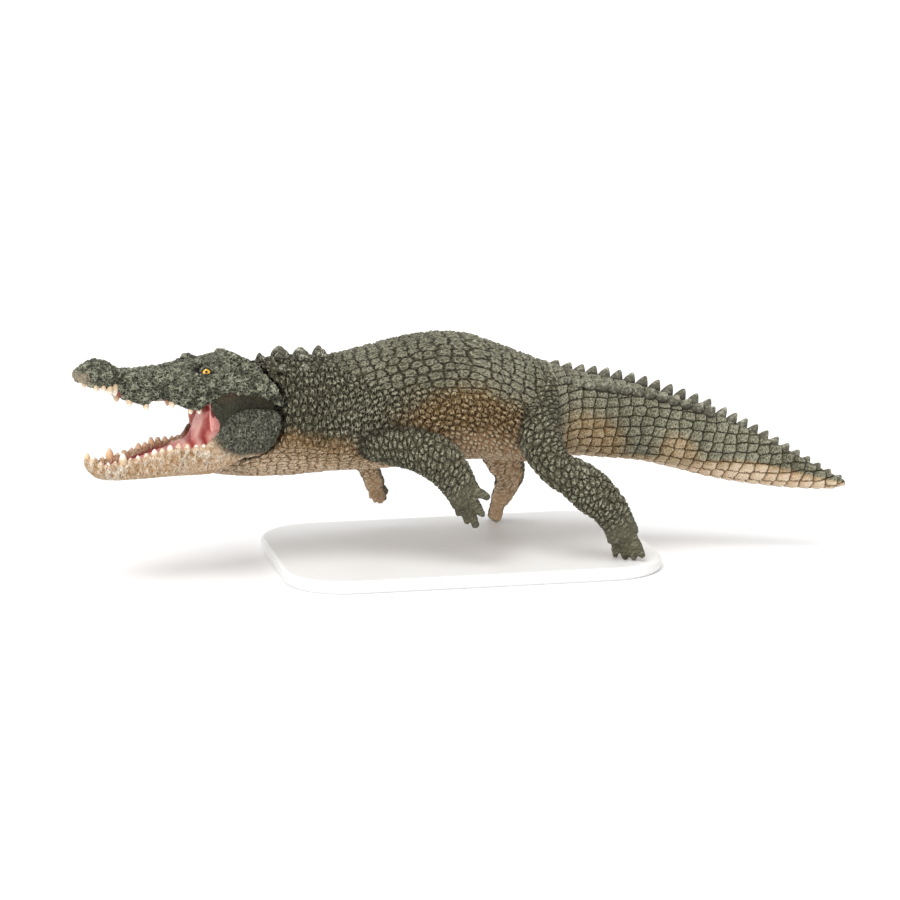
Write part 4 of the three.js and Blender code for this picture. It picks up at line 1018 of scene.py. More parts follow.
# %% What each point of the skull belongs to
skull_at = in_head(skull_points)
x, y, z = skull_at.T
lip_width, palate = smooth_at(HEAD, np.clip(x, HEAD[0, 0], HEAD[-1, 0]))[:, 5:].T
lining = (step_between(palate + 0.9 - z, 0, 0.5) * step_between(lip_width * 0.97 - np.abs(y), 0, 0.7)
          * step_between(x, -12, -16) * step_between(x, -48.8, -47.6))
cheek = step_between(9.75 - np.abs(y), 0, 0.35) * step_between(z, 44.5, 42.5) * step_between(x, -23, -21.5)
lining *= 1 - cheek
EYE_GAZE = np.array([-0.25, 0.92, 0.32]) / np.linalg.norm([-0.25, 0.92, 0.32])  # of the eye on the y > 0 side
iris = np.array([EYE["x"], EYE["y"], EYE["z"]]) + EYE["radius"] * EYE_GAZE
mirrored = np.stack([x, np.abs(y), z], 1)
from_iris = mirrored - iris
almond = np.hypot((from_iris[:, 0] + 0.4) / 2.6, (from_iris[:, 2] + 0.14 * from_iris[:, 0]) / 0.62)
lids = step_between(almond, 1.1, 0.7) * step_between(mirrored[:, 1], 4.5, 5.5)
snout_tip = step_between(x, -47.9, -49.7) * step_between(z, 50.0, 48.8)
print("share of lining", round(float(lining.mean()), 2), "of cheek", round(float(cheek.mean()), 2))

# %% Ridges, and the seam behind the skull with painted shade in it
RIDGES = [  # height, reach, and the points of a line along the head: its brow, temple and snout
    (0.45, 0.75, [[-27.5, 5.0, 49.7], [-24.8, 6.0, 49.9], [-22.4, 6.9, 49.9], [-19.9, 7.4, 49.7],
                  [-17.2, 7.3, 49.6]]),
    (0.9, 1.7, [[-25.0, 4.4, 50.2], [-23.2, 5.2, 50.4], [-21.4, 6.0, 50.6]]),
    (-0.6, 2.0, [[-32.5, 0.0, 49.4], [-28.6, 0.0, 49.6]]),
    (0.4, 0.8, [[-15.8, 6.6, 50.3], [-12.6, 7.2, 49.6], [-10.6, 8.3, 47.9], [-9.6, 9.6, 46.2],
                [-7.6, 11.0, 42.6]]),
    (0.6, 1.0, [[-46.6, 2.6, 50.5], [-45.4, 2.9, 50.5]]), (-0.4, 1.0, [[-49.2, 1.6, 50.6], [-49.0, 3.0, 50.0]]),
    (0.35, 0.7, [[-26.5, 8.0, 46.6], [-22.6, 8.9, 46.6], [-19.0, 9.6, 46.9], [-15.5, 9.9, 47.4]]),
    (0.3, 0.8, [[-41.0, 3.2, 49.0], [-36.0, 3.9, 48.7], [-31.5, 5.0, 48.6], [-27.5, 6.3, 48.3]]),
    (-0.35, 0.6, [[-27.6, 6.9, 48.7], [-25.2, 7.6, 48.5], [-22.3, 8.1, 49.1], [-19.8, 8.6, 48.6],
                  [-18.0, 9.0, 48.2]]),
    (-0.3, 0.7, [[-17.5, 8.0, 49.2], [-13.5, 8.9, 48.8], [-10.5, 9.6, 47.4]]),
]


def near_line(points, line):
    """Distance of each point from a broken line."""
    line = np.array(line, float)
    best = np.full(len(points), np.inf)
    for a, b in zip(line[:-1], line[1:]):
        share = np.clip((points - a) @ (b - a) / ((b - a) @ (b - a)), 0, 1)
        best = np.minimum(best, np.linalg.norm(points - a - share[:, None] * (b - a), axis=1))
    return best


swell = sum(height * np.exp(-(near_line(mirrored, line) / reach) ** 2) for height, reach, line in RIDGES)
SEAM = np.array([[38, -4.7], [40.6, -5.1], [44.9, -8.0], [48.4, -10.2], [50.3, -13.4], [51.6, -14.8]])  # z, x
behind_seam = x - np.interp(z, *SEAM.T)
swell += 0.55 * np.exp(-((behind_seam + 0.7) / 1.0) ** 2) * (behind_seam < 0)
swell -= 0.75 * step_between(behind_seam, -0.1, 0.5) * step_between(z, 38.5, 41.0)
# painted shade: a near-black band in the gap just behind the skull's rear edge
seam = step_between(behind_seam, -0.05, 0.2) * step_between(behind_seam, 1.1, 0.55) * step_between(z, 39, 41)
skull_points = skull_points + normals_of(skull) * swell[:, None]
place_points(skull, skull_points)
for name, values in {"head_at": skull_at, "lining": lining, "cheek": cheek, "lids": lids, "seam": seam,
                     "snout_tip": snout_tip, "on_nape": step_between(behind_seam, 0.3, 1.0)}.items():
    paint_on(skull, name, values)
print(len(RIDGES), "ridges, swelling", round(float(swell.min()), 2), "to", round(float(swell.max()), 2), "mm")

# %% [markdown]
# The skull has no scales: its skin grows on the bone, and is pitted and wrinkled like bark. Voronoi cells in
# three dimensions, pushed about by noise, give pits with winding ridges between them. They need no map of
# the surface, which a head with a mouth, sockets and cheeks would make hard to lay out.

# %% The rule for the pitted skull
def pushed(graph, at, scale, reach):
    """Places moved about by noise, which turns straight edges into winding ones."""
    push = graph.node("ShaderNodeTexNoise", {"noise_dimensions": "3D"},
                      {"Vector": at, "Scale": scale, "Detail": 2.0, "Roughness": 0.6}, "Color")
    return graph.node("ShaderNodeVectorMath", {"operation": "MULTIPLY_ADD"}, {0: push, 1: (reach,) * 3, 2: at})


def sized(graph, at, size, stretch):
    """Places divided by a size in mm, and stretched more along some axes than others."""
    factors = tuple(share / size for share in stretch)
    return graph.node("ShaderNodeVectorMath", {"operation": "MULTIPLY"}, {0: at, 1: factors})


def pitted(graph, at, size, stretch=(1.0, 1.0, 1.0)):
    """Winding ridges round pits, from 0 in a pit to 1 on a ridge."""
    scaled = sized(graph, pushed(graph, at, 0.9, 1.3), size, stretch)
    edge = graph.cells(scaled, "DISTANCE_TO_EDGE", 1.0)
    crease = graph.noise(scaled, 2.2, 3.0, 0.6)
    return graph.smooth(edge, 0.34, 0.0) * 0.55 + graph.smooth(crease, 0.32, 0.68) * 0.45


def fine_ridges(graph, at, size, stretch=(1.0, 1.0, 1.0)):
    """Thin ridges too fine for the mesh: 1 on a ridge, 0 between."""
    scaled = sized(graph, pushed(graph, at, 1.6, 0.8), size, stretch)
    return graph.smooth(graph.cells(scaled, "DISTANCE_TO_EDGE", 1.0), 0.24, 0.02)


def lumpy(graph, at, size):
    """Low lumps pressed against each other: 1 on top of a lump and 0 between them."""
    scaled = graph.node("ShaderNodeVectorMath", {"operation": "SCALE"},
                        {0: pushed(graph, at, 0.5, 1.6), "Scale": 1 / size})
    return graph.smooth(graph.cells(scaled, "F1", 0.9), 0.72, 0.2)


def worms(graph, at, size, stretch=(1.0, 1.0, 1.0)):
    """Short winding ridges: 1 on a ridge and 0 away from it."""
    level = graph.noise(sized(graph, at, size, stretch), 1.0, 1.5, 0.55)
    return graph.smooth(graph.maths("ABSOLUTE", level - 0.5), 0.09, 0.0)


def skull_relief(graph):
    """Pits, winding ridges and low lumps, calmer on the cheek plate, the lining and the lids."""
    at = graph.painted("head_at", True)
    relief = (pitted(graph, at, 1.0, (1.0, 1.0, 1.15)) * 0.35 + worms(graph, at, 1.9, (1.0, 1.0, 1.3)) * 0.3
              + lumpy(graph, at, 2.2) * 0.4)
    cheek = graph.painted("cheek") * graph.smooth(graph.part(at, 0), -24.0, -18.0)
    calm = graph.maths("MAXIMUM", cheek * 0.75, graph.painted("lining"))
    return graph.blend(relief, 0.5, graph.maths("MAXIMUM", calm, graph.painted("lids")) * 0.85)


grown(skull, "pit_the_skull", skull_relief, depth_mm=0.85)
print("skull", len(skull.data.polygons), "faces, moved through the relief")

# %% The painted skull
skull_paint, graph, shader = paint_material("painted_skull")
relief = skull_relief(graph)
head_at = graph.painted("head_at", True)
cheek_share = graph.painted("cheek") * graph.smooth(graph.part(head_at, 0), -24.0, -17.5)
ridges = graph.maths("MAXIMUM", fine_ridges(graph, head_at, 0.95, (1.0, 1.0, 1.25)) * 0.8,
                     worms(graph, head_at, 1.35, (1.0, 1.0, 1.4)))
fine = graph.noise(head_at, 2.8, 3.0, 0.65)
broad = graph.noise(head_at, 0.16, 2.0)
low_on_side = graph.smooth(graph.part(head_at, 2), 45.5, 40.5)
base = graph.tint((0.090, 0.092, 0.062), (0.060, 0.060, 0.040), low_on_side)
skin_height = relief * 0.4 + (ridges - 0.35) * graph.blend(0.5, 0.14, cheek_share) + (fine - 0.5) * 0.45 + 0.11
crown = graph.smooth(skin_height + (broad - 0.5) * 0.2, 0.38, 0.74)
groove = graph.smooth(skin_height, 0.27, 0.07)
colour = graph.tint(base, (0.50, 0.505, 0.375), crown * graph.blend(0.75, 0.3, cheek_share))
colour = graph.tint(colour, (0.011, 0.010, 0.005), groove * graph.blend(0.85, 0.5, cheek_share))
brown = graph.smooth(graph.part(head_at, 2), 40.0, 42.8) * graph.smooth(broad, 0.3, 0.5)
cheek_coat = graph.tint((0.055, 0.053, 0.033), (0.14, 0.095, 0.048), brown * 0.8)
colour = graph.tint(colour, cheek_coat, cheek_share * 0.7)
pale_tip = graph.painted("snout_tip") * graph.smooth(fine, 0.25, 0.5)
colour = graph.tint(colour, (0.52, 0.43, 0.31), pale_tip * 0.85)
colour = graph.tint(colour, (0.075, 0.070, 0.045), graph.painted("on_nape") * 0.4)
# painted shade: near black in the seam behind the skull
colour = graph.tint(colour, (0.006, 0.005, 0.004), graph.painted("seam") * 0.95)
colour = graph.tint(colour, (0.010, 0.009, 0.007), graph.painted("lids"))
colour = graph.tint(colour, (0.55, 0.16, 0.15), graph.painted("lining"))
coated(graph, shader, {
    "Base Color": colour, "Roughness": graph.smooth(groove, 0.0, 1.0, 0.55, 0.45), "Specular IOR Level": 0.3,
}, bump=(skin_height, 1.1, 1.0))
wear(skull, skull_paint)
print("skull nodes:", len(skull_paint.node_tree.nodes))

# %% [markdown]
# The lower jaw is the moving piece. Its side plates lie round the hinge like two discs, dark as the cheek,
# and the rest is tan and cream with upright wrinkles. Below each tooth its root shows as a low rib, with a
# brown groove on either side. Inside the walls the jaw is painted as gum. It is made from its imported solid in
# the same way as the skull, so that its travel stays clear.

# %% What each point of the lower jaw belongs to
jaw, jaw_points = casting("jaw", "lower_jaw", spacing=0.215, ease=6)
jaw_at = in_head(jaw_points)
x, y, z = jaw_at.T
off_middle = np.abs(y)
rim, rim_width, under = smooth_at(JAW, np.clip(x, JAW[0, 0], JAW[-1, 0]))[:, [0, 1, 4]].T
jaw_facing = relaxed(normals_of(jaw), neighbours(jaw), 3) @ HEAD_TURN
inner_side = np.maximum(step_between(-np.sign(y) * jaw_facing[:, 1], 0.1, 0.45),
                        step_between(jaw_facing[:, 2], 0.35, 0.7))
inside = inner_side * step_between(rim_width - 0.6 - off_middle, 0, 0.4)
inside *= step_between(z - under, 1.2, 2.0) * step_between(x, -7.5, -8.5)
inside *= step_between(x, -48.2, -47.4) * step_between(rim - z, 0.5, 1.3)
forward = np.minimum(x - HINGE["x"], 0)
dark_reach = np.hypot(forward * 0.85, np.minimum(z - HINGE["z"] + 1.4, 0) * 1.35)
disc = step_between(dark_reach, 9.8, 4.6) * step_between(z - 0.2 * forward, 26.0, 30.0) * (1 - inside)
disc *= step_between(forward * 0.7 - (z - HINGE["z"]), -9.5, -7.5) * step_between(off_middle, 8.2, 9.0)
from_rim = rim - z
inner_rim = np.maximum(inner_side, step_between(from_rim, 0.6, 0.1)) * (1 - inside)
print("share of gum", round(float(inside.mean()), 2), "of the dark disc", round(float(disc.mean()), 2))

# %% Ribs below the lower teeth
roots = np.array([[tooth_x, smooth_at(JAW, tooth_x)[0, 1] - 0.5] for tooth_x, _, _ in LOWER_TEETH])
to_root = np.linalg.norm(np.stack([x, off_middle], 1)[:, None] - roots, axis=2).min(1)
rib_depth = from_rim * (1 + step_between(x, -44, -47.5))  # shorter round the chin
rib = np.exp(-(to_root / 0.8) ** 2) * step_between(rib_depth, 6.0, 1.8) * (1 - inside) * (1 - disc)
between_ribs = step_between(to_root, 0.65, 1.1) * step_between(rib_depth, 5.0, 1.5) * step_between(x, -20, -23)
between_ribs *= (1 - inside) * (1 - disc) * (1 - inner_side)
place_points(jaw, points_of(jaw) + normals_of(jaw) * (rib * 0.5 - between_ribs * 0.25)[:, None])
for name, values in {"head_at": jaw_at, "inside": inside, "disc": disc, "from_rim": from_rim, "rib": rib,
                     "between": between_ribs, "inner_rim": inner_rim}.items():
    paint_on(jaw, name, values)
print("ribs", 2 * len(roots))

# %% Wrinkles raised in the jaw
def jaw_relief(graph):
    """Upright wrinkles with lumps along the gum, wrinkled evenly on the disc and nearly smooth inside."""
    at = graph.painted("head_at", True)
    upright = pitted(graph, at, 1.2, (1.0, 1.0, 0.4))
    wrinkled = pitted(graph, at, 0.95, (1.0, 1.0, 1.0))
    lumps = lumpy(graph, at, 1.5) * graph.smooth(graph.painted("from_rim"), 5.0, 1.5)
    relief = graph.blend(upright * 0.65 + lumps * 0.35, wrinkled * 0.75, graph.painted("disc"))
    return graph.blend(relief, 0.5, graph.painted("inside") * 0.8)


grown(jaw, "wrinkle_the_jaw", jaw_relief, depth_mm=0.5)
print("jaw", len(jaw.data.polygons), "faces")

# %% The painted jaw
jaw_paint, graph, shader = paint_material("painted_jaw")
relief = jaw_relief(graph)
head_at = graph.painted("head_at", True)
upright = graph.maths("MAXIMUM", fine_ridges(graph, head_at, 0.9, (1.4, 1.0, 0.6)) * 0.75,
                      worms(graph, head_at, 1.2, (1.6, 1.0, 0.7)))
fine = graph.noise(head_at, 2.8, 3.0, 0.68)
broad = graph.noise(head_at, 0.22, 2.0)
disc_share = graph.smooth(graph.painted("disc") + (fine - 0.5) * 0.4, 0.05, 0.85)
rib, between = graph.painted("rib"), graph.painted("between")
skin_height = relief * 0.5 + (upright - 0.35) * 0.38 + (fine - 0.5) * 0.4 + 0.1
crown = graph.smooth(skin_height + (broad - 0.5) * 0.3 + rib * 0.2, 0.38, 0.72)
groove = graph.maths("MAXIMUM", graph.smooth(skin_height, 0.30, 0.10),
                     between * graph.smooth(fine + relief * 0.3, 0.7, 0.4))
tan_base = graph.tint((0.60, 0.39, 0.215), (0.66, 0.49, 0.34), graph.smooth(broad, 0.4, 0.62))
near_rim = graph.smooth(graph.painted("from_rim"), 2.6, 0.4)
pale_coat = graph.tint(tan_base, (0.88, 0.81, 0.68), crown * graph.blend(0.65, 0.9, near_rim))
pale_coat = graph.tint(pale_coat, (0.40, 0.19, 0.055), groove * 0.8)
pale_coat = graph.tint(pale_coat, graph.tint((0.66, 0.42, 0.25), (0.88, 0.66, 0.46), crown),
                       graph.painted("inner_rim") * 0.85)
dark_coat = graph.tint((0.066, 0.066, 0.044), (0.34, 0.35, 0.265), crown * 0.75)
dark_coat = graph.tint(dark_coat, (0.012, 0.011, 0.006), groove * 0.88)
colour = graph.tint(pale_coat, dark_coat, disc_share)
gum = graph.tint((0.64, 0.14, 0.13), (0.82, 0.33, 0.29), graph.smooth(fine, 0.4, 0.7))
colour = graph.tint(colour, gum, graph.painted("inside"))
coated(graph, shader, {
    "Base Color": colour, "Roughness": graph.smooth(groove, 0.0, 1.0, 0.55, 0.46), "Specular IOR Level": 0.4,
}, bump=(skin_height, 1.0, 1.0))
wear(jaw, jaw_paint)
print("jaw nodes:", len(jaw_paint.node_tree.nodes))

# %% [markdown]
# The tongue and the folds of the throat behind it are one soft pink mass that lies in the jaw. Its folds
# run up and back, so a few waves along its length, bent by noise, raise them in the mesh.

# %% The tongue
tongue, tongue_points = casting("tongue_and_throat", "tongue", spacing=0.2, ease=10)
tongue_at = in_head(tongue_points)
x, y, z = tongue_at.T  # views of tongue_at, so that changing them moves its points
risen = step_between(z, 30.0, 33.0)
y *= 1 - 0.62 * step_between(x, -17.0, -23.0) * risen
x += 1.2 * step_between(x, -19.0, -23.0) * risen
z -= 0.9 * step_between(z, 38.0, 40.2)  # so that its top passes the palate when the mouth shuts
place_points(tongue, from_head(tongue_at))
paint_on(tongue, "head_at", tongue_at)


def tongue_relief(graph):
    """Folds across the throat, raised more towards its back."""
    at = graph.painted("head_at", True)
    x, z = graph.part(at, 0), graph.part(at, 2)
    bend = graph.noise(at, 0.3, 2.0) * 4.0
    fold = graph.maths("SINE", (x * 0.9 - z * 0.25) * 2.4 + bend)
    behind = graph.smooth(x, -30.0, -25.0)
    return 0.5 + fold * 0.5 * behind + (graph.noise(at, 1.2, 3.0) - 0.5) * 0.35


grown(tongue, "fold_the_throat", tongue_relief, depth_mm=0.5)
print("tongue", len(tongue.data.polygons), "faces")

# %% The painted mouth
tongue_paint, graph, shader = paint_material("painted_mouth")
relief = tongue_relief(graph)
fine = graph.noise(graph.painted("head_at", True), 1.5, 3.0, 0.6)
crown = graph.smooth(relief + (fine - 0.5) * 0.5, 0.45, 1.0)
colour = graph.tint((0.78, 0.31, 0.27), (0.90, 0.52, 0.46), crown)
# painted shade: darker red in the valleys between the folds
colour = graph.tint(colour, (0.48, 0.09, 0.085), graph.smooth(relief, 0.35, 0.0))
coated(graph, shader, {"Base Color": colour, "Roughness": 0.45, "Specular IOR Level": 0.4},
       bump=(relief * 0.5 + fine * 0.3, 0.3, 0.7))
wear(tongue, tongue_paint)
print("tongue nodes:", len(tongue_paint.node_tree.nodes))

# %% [markdown]
# At each corner of the mouth a fold of skin stands between the tongue and the wall of the jaw. It is hung on
# the figure, so it stays still while the jaw turns. Each fold is a thin plate with rounded edges, cut to the
# outline of the corner, with painted shade in its middle: a dark red spot that stands for the shadow in a
# hollow.

# %% The folds at the corners of the mouth
THROAT_FOLD = [  # x and z of its outline
    [-21.6, 42.6], [-21.6, 40.4], [-21.8, 37.2], [-21.5, 34.4], [-20.2, 32.8], [-18.0, 32.6],
    [-16.6, 34.6], [-16.4, 38.0], [-17.0, 42.6],
]
FOLD_FROM, FOLD_TO = 7.28, 7.75  # mm off the middle, between the tongue and the jaw's wall

fold_pieces = []
for side in (-1, 1):
    near, far = ([[x, side * y, z] for x, z in THROAT_FOLD] for y in (FOLD_FROM, FOLD_TO))
    points = from_head(near + far)
    count = len(THROAT_FOLD)
    walls = [[i, (i + 1) % count, (i + 1) % count + count, i + count] for i in range(count)]
    faces = [list(range(count))[::-1], list(range(count, 2 * count)), *walls]
    fold_pieces.append((points, [face[::side] for face in faces]))
folds = joined_mesh("throat_folds", fold_pieces)
finished(folds, ("BEVEL", {"width": 0.2 * MM, "segments": 3}),
         ("REMESH", {"mode": "VOXEL", "voxel_size": 0.12 * MM}))
folds_at = in_head(relaxed(points_of(folds), neighbours(folds), 4))
place_points(folds, from_head(folds_at))
paint_on(folds, "head_at", folds_at)
folds.data.shade_smooth()

fold_paint, graph, shader = paint_material("painted_throat")
at = graph.painted("head_at", True)
fine = graph.noise(at, 1.5, 3.0, 0.6)
flattened = graph.node("ShaderNodeVectorMath", {"operation": "MULTIPLY"}, {0: at, 1: (1.0, 0.0, 0.45)})
hollow_shade_distance = graph.node("ShaderNodeVectorMath", {"operation": "DISTANCE"},
                    {0: flattened, 1: (-20.9, 0.0, 17.5)}, "Value")
colour = graph.tint((0.76, 0.29, 0.26), (0.88, 0.48, 0.42), graph.smooth(fine, 0.35, 0.7))
# painted shade: a dark red spot in the middle of each fold that stands for the shadow in a hollow
colour = graph.tint(colour, (0.22, 0.035, 0.03), graph.smooth(hollow_shade_distance, 0.75, 0.45))
coated(graph, shader, {"Base Color": colour, "Roughness": 0.45}, bump=(fine, 0.2, 0.6))
wear(folds, fold_paint)
print("throat folds", len(folds.data.polygons), "faces")

# %% [markdown]
# Teeth, crest fins and the knobs on the nape are all one idea: a rounded cone on a spot, with its own size
# and lean. A Geometry Nodes tree makes the cone from a ball, puts it on points that carry each one's size
# and turn, and joins the lot. Copying objects by hand would do the same, but could not be tuned in one place.
# The cone also stores how high each of its points is, which the paint uses for the foot and the tip.

# %% Rounded cones on points
def studs(name, spots, narrow, lean, material, body, detail):
    """Cones on points: each spot is a place, a 3 by 3 turn and half-sizes. Narrow and lean are shares of those,
    and detail is the number of segments and rings of each cone."""
    points = np.array([spot[0] for spot in spots], float)
    made = mesh_object(name, points, [])
    paint_on(made, "size", np.array([spot[2] for spot in spots], float) * MM)
    paint_on(made, "turn", np.array([list(Matrix(spot[1]).to_euler()) for spot in spots], float))
    graph, given, values = geometry_graph(
        name, {"Narrowing along": narrow[0], "Narrowing across": narrow[1], "Lean": lean})
    ball = graph.node(
        "GeometryNodeMeshUVSphere", None, {"Segments": detail[0], "Rings": detail[1], "Radius": 1.0})
    place = graph.node("GeometryNodeInputPosition")
    x, y, z = (graph.part(place, axis) for axis in range(3))
    high = (z + 1) / 2
    shaped = graph.vector(
        x * (1 - high * given["Narrowing along"]) + high * high * given["Lean"],
        y * (1 - high * given["Narrowing across"]), z)
    cone = graph.node("GeometryNodeSetPosition", None, {"Geometry": ball, "Position": shaped})
    cone = graph.node("GeometryNodeStoreNamedAttribute", {"data_type": "FLOAT", "domain": "POINT"},
                      {"Name": "high", "Geometry": cone, "Value": high})
    turn = graph.node("FunctionNodeEulerToRotation", None, {"Euler": graph.painted("turn", True)})
    spread = graph.node("GeometryNodeInstanceOnPoints", None, {
        "Points": given["Geometry"], "Instance": cone, "Rotation": turn, "Scale": graph.painted("size", True)})
    real = graph.node("GeometryNodeRealizeInstances", None, {"Geometry": spread})
    smooth = graph.node("GeometryNodeSetShadeSmooth", None, {"Geometry": real})
    painted = graph.node("GeometryNodeSetMaterial", None, {"Geometry": smooth, "Material": material})
    through_tree(made, graph, painted, values)
    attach(made, body)
    print(name, len(spots), "pieces,", len(made.data.polygons), "faces")
    return made


print("cones by", studs.__name__)

# %% [markdown]
# The teeth are cream at the tip and stained towards the gum, and on their inner sides the paint of the gum
# runs up them. They stand in two rows by the tables, each leaned a little out or in, and sunk into the gum.

# %% The teeth
ivory, graph, shader = paint_material("painted_teeth")
place = graph.node("ShaderNodeTexCoord", None, None, "Object")
high = graph.painted("high")
stain = graph.noise(place, 900.0, 3.0, 0.6)
clean = graph.smooth(high + (stain - 0.5) * 0.6, 0.45, 0.85)
colour = graph.tint((0.60, 0.46, 0.29), (0.86, 0.81, 0.71), clean)
tan_inside = graph.painted("inner") * graph.smooth(high, 1.0, 0.7, 0.4, 0.85)
colour = graph.tint(colour, (0.86, 0.56, 0.32), tan_inside)
coated(graph, shader, {"Base Color": colour, "Roughness": 0.42}, bump=(stain, 0.1, 0.5))

SINK = 0.8  # how deep a tooth stands in the gum


def row_of_teeth(table, outline, columns, share, inset, up, splay):
    """Spots for one row on both sides. The outline's columns give the height and half-width of the gum, up is 1
    or -1, and splay is how far the teeth lean out, in radians."""
    spots = []
    for x, height, radius in table:
        values = smooth_at(outline, x)[0]
        level, half_width = values[columns[0]], values[columns[1]]
        for side in (-1, 1):
            turn = Matrix.Rotation(side * splay, 3, "X")
            if up < 0:
                turn = turn @ Matrix.Rotation(math.pi, 3, "X")
            foot = Vector((x, side * (half_width * share - inset), level))
            middle = foot + turn @ Vector((0, 0, (height - SINK) / 2))
            spots.append((from_head([middle])[0], np.array(Matrix(HEAD_TURN) @ turn),
                          (radius * 1.25, radius * 1.25, (height + SINK) / 2 + 0.08)))
    return spots


def stain_inside(teeth, share):
    """Marks the side of each tooth that faces the middle of the mouth, where the gum's tan paint reaches."""
    sideways = (normals_of(teeth) @ HEAD_TURN)[:, 1] * -np.sign(in_head(points_of(teeth))[:, 1])
    paint_on(teeth, "inner", step_between(sideways, -0.1, 0.6) * share)


upper_spots = row_of_teeth(UPPER_TEETH, HEAD, (4, 5), share=0.93, inset=0.1, up=-1, splay=0.12)
lower_spots = row_of_teeth(LOWER_TEETH, JAW, (0, 1), share=1.0, inset=0.5, up=1, splay=-0.1)
upper_teeth = studs("upper_teeth", upper_spots, (0.35, 0.35), 0.0, ivory, "figure", (20, 14))
lower_teeth = studs("lower_teeth", lower_spots, (0.42, 0.42), 0.0, ivory, "jaw", (20, 14))
stain_inside(upper_teeth, 0.15)
stain_inside(lower_teeth, 0.9)
print("teeth", len(upper_spots) + len(lower_spots))

# %% [markdown]
# The tail's crest starts as two rows that draw together, and goes on as one row of upright fins to the tip.
# The nape has a shield of six pairs of keeled knobs. Both are cast with the hide and painted like it, but
# their tops catch most of the dry brush. The fins are fairly smooth, with painted shade up to half their
# height.
# The knobs are rugged, with the grain and cracks of old horn.

# %% The paint of the crest and the nape
def keel_paint(name, rugged, foot):
    """The hide's paint on cones: rugged is how strong cracks and grain are, foot how high the painted shade at
    the foot reaches.
    """
    made, graph, shader = paint_material(name)
    place = graph.node("ShaderNodeTexCoord", None, None, "Object")
    high = graph.painted("high")
    fine = graph.noise(place, 1500.0, 3.0, 0.65)
    streak = graph.noise(place, 420.0, 3.0, 0.6)
    crackle = creases(graph, place, 800.0, 0.09)
    base = graph.tint((0.075, 0.071, 0.048), (0.125, 0.120, 0.084), graph.smooth(high, 0.35, 0.9))
    grain = (fine - 0.5) * (0.5 + rugged) + (streak - 0.5) * (0.6 + rugged * 0.8)
    crown = graph.smooth(high * 0.35 + grain, 0.18, 0.55)
    colour = graph.tint(base, (0.50, 0.49, 0.38), crown * 0.85)
    # painted shade: near black at the foot of each cone, up to the height foot
    foot_shade = graph.smooth(high + (streak - 0.5) * 0.5 * rugged, foot + 0.08, foot - 0.08)
    colour = graph.tint(colour, (0.012, 0.008, 0.004), foot_shade * 0.85)
    colour = graph.tint(colour, (0.012, 0.008, 0.004), graph.smooth(crackle, 0.5, 0.0) * rugged * 0.8)
    coated(graph, shader, {"Base Color": colour, "Roughness": 0.58, "Specular IOR Level": 0.35},
           bump=((fine * 0.6 + streak * 0.6 + crackle * 0.3) * (0.4 + rugged * 0.6), 0.7, 1.0))
    return made


crest_paint = keel_paint("painted_crest", rugged=0.4, foot=0.5)
nape_paint = keel_paint("painted_nape", rugged=1.0, foot=0.34)
print("paints:", crest_paint.name, nape_paint.name)

# %% The crest and the nape
DOUBLE_CREST = {"from": 23.5, "step": 2.85, "count": 13, "apart": (6.2, 4.8, 1.7), "height": (0.9, 2.2, 2.7),
                "half_length": 2.25, "half_width": 1.5, "roll": 0.4}  # the roll, in radians, leans the rows out
SINGLE_CREST = {"from": 60.8, "step": 2.45, "count": 12, "height": (2.9, 1.1),
                "half_length": 2.1, "half_width": (1.08, 0.54)}
NAPE_KNOBS = [  # x, distance from the middle, half-length, half-width, height
    [-46.2, 2.0, 1.1, 1.0, 1.1], [-41.7, 2.5, 2.4, 1.9, 2.3], [-42.6, 7.0, 1.6, 1.4, 1.2],
    [-36.8, 2.5, 2.2, 1.9, 1.9], [-37.4, 7.2, 1.8, 1.5, 1.4], [-32.6, 2.3, 1.8, 1.5, 2.3],
]
FOOT = {"fin": 2.3, "knob": 1.1}  # how deep each stands in the skin


def on_the_back(kind, x, across, sink, half_length, half_width, height, roll=0.0):
    """The spot of a fin or a knob on the top of the body at x, turned with the back there."""
    top = smooth_at(BODY, x)[0, 0]
    slope = float(smooth_at(BODY, x + 0.5)[0, 0] - smooth_at(BODY, x - 0.5)[0, 0])
    heading = float(spine_y(x + 0.5) - spine_y(x - 0.5))
    lean = math.radians(smooth_at(TWIST, x)[0, 0])
    turn = (Matrix.Rotation(math.atan(heading), 3, "Z") @ Matrix.Rotation(-math.atan(slope) * 0.7, 3, "Y")
            @ Matrix.Rotation(lean + roll, 3, "X"))
    foot = Vector(on_section(x, across, top - sink))
    middle = foot + turn @ Vector((0, 0, (height - FOOT[kind]) / 2))
    return (np.array(middle), np.array(turn), (half_length, half_width, (height + FOOT[kind]) / 2))


fins = []
row = DOUBLE_CREST
for i in range(row["count"]):
    share = i / (row["count"] - 1)
    apart, height = (np.interp(share, (0, 0.35, 1), row[key]) for key in ("apart", "height"))
    for side in (-1, 1):
        fins.append(on_the_back("fin", row["from"] + i * row["step"], side * apart, 0.1 + apart * 0.07,
                                row["half_length"], row["half_width"], height, side * -row["roll"]))
row = SINGLE_CREST
for i in range(row["count"]):
    share = i / (row["count"] - 1)
    half_width, height = (np.interp(share, (0, 1), row[key]) for key in ("half_width", "height"))
    fins.append(on_the_back("fin", row["from"] + i * row["step"], 0, 0.3,
                            row["half_length"], half_width, height))
knobs = [on_the_back("knob", x, side * y, 0.05 + 0.04 * y * y, a, b, height, side * -0.06 * y)
         for x, y, a, b, height in NAPE_KNOBS for side in (-1, 1)]
crest = studs("tail_crest", fins, (0.6, 0.8), 0.42, crest_paint, "figure", (20, 14))
nape = studs("nape_knobs", knobs, (0.5, 0.62), 0.1, nape_paint, "figure", (24, 16))
print("fins", len(fins), "knobs", len(knobs))

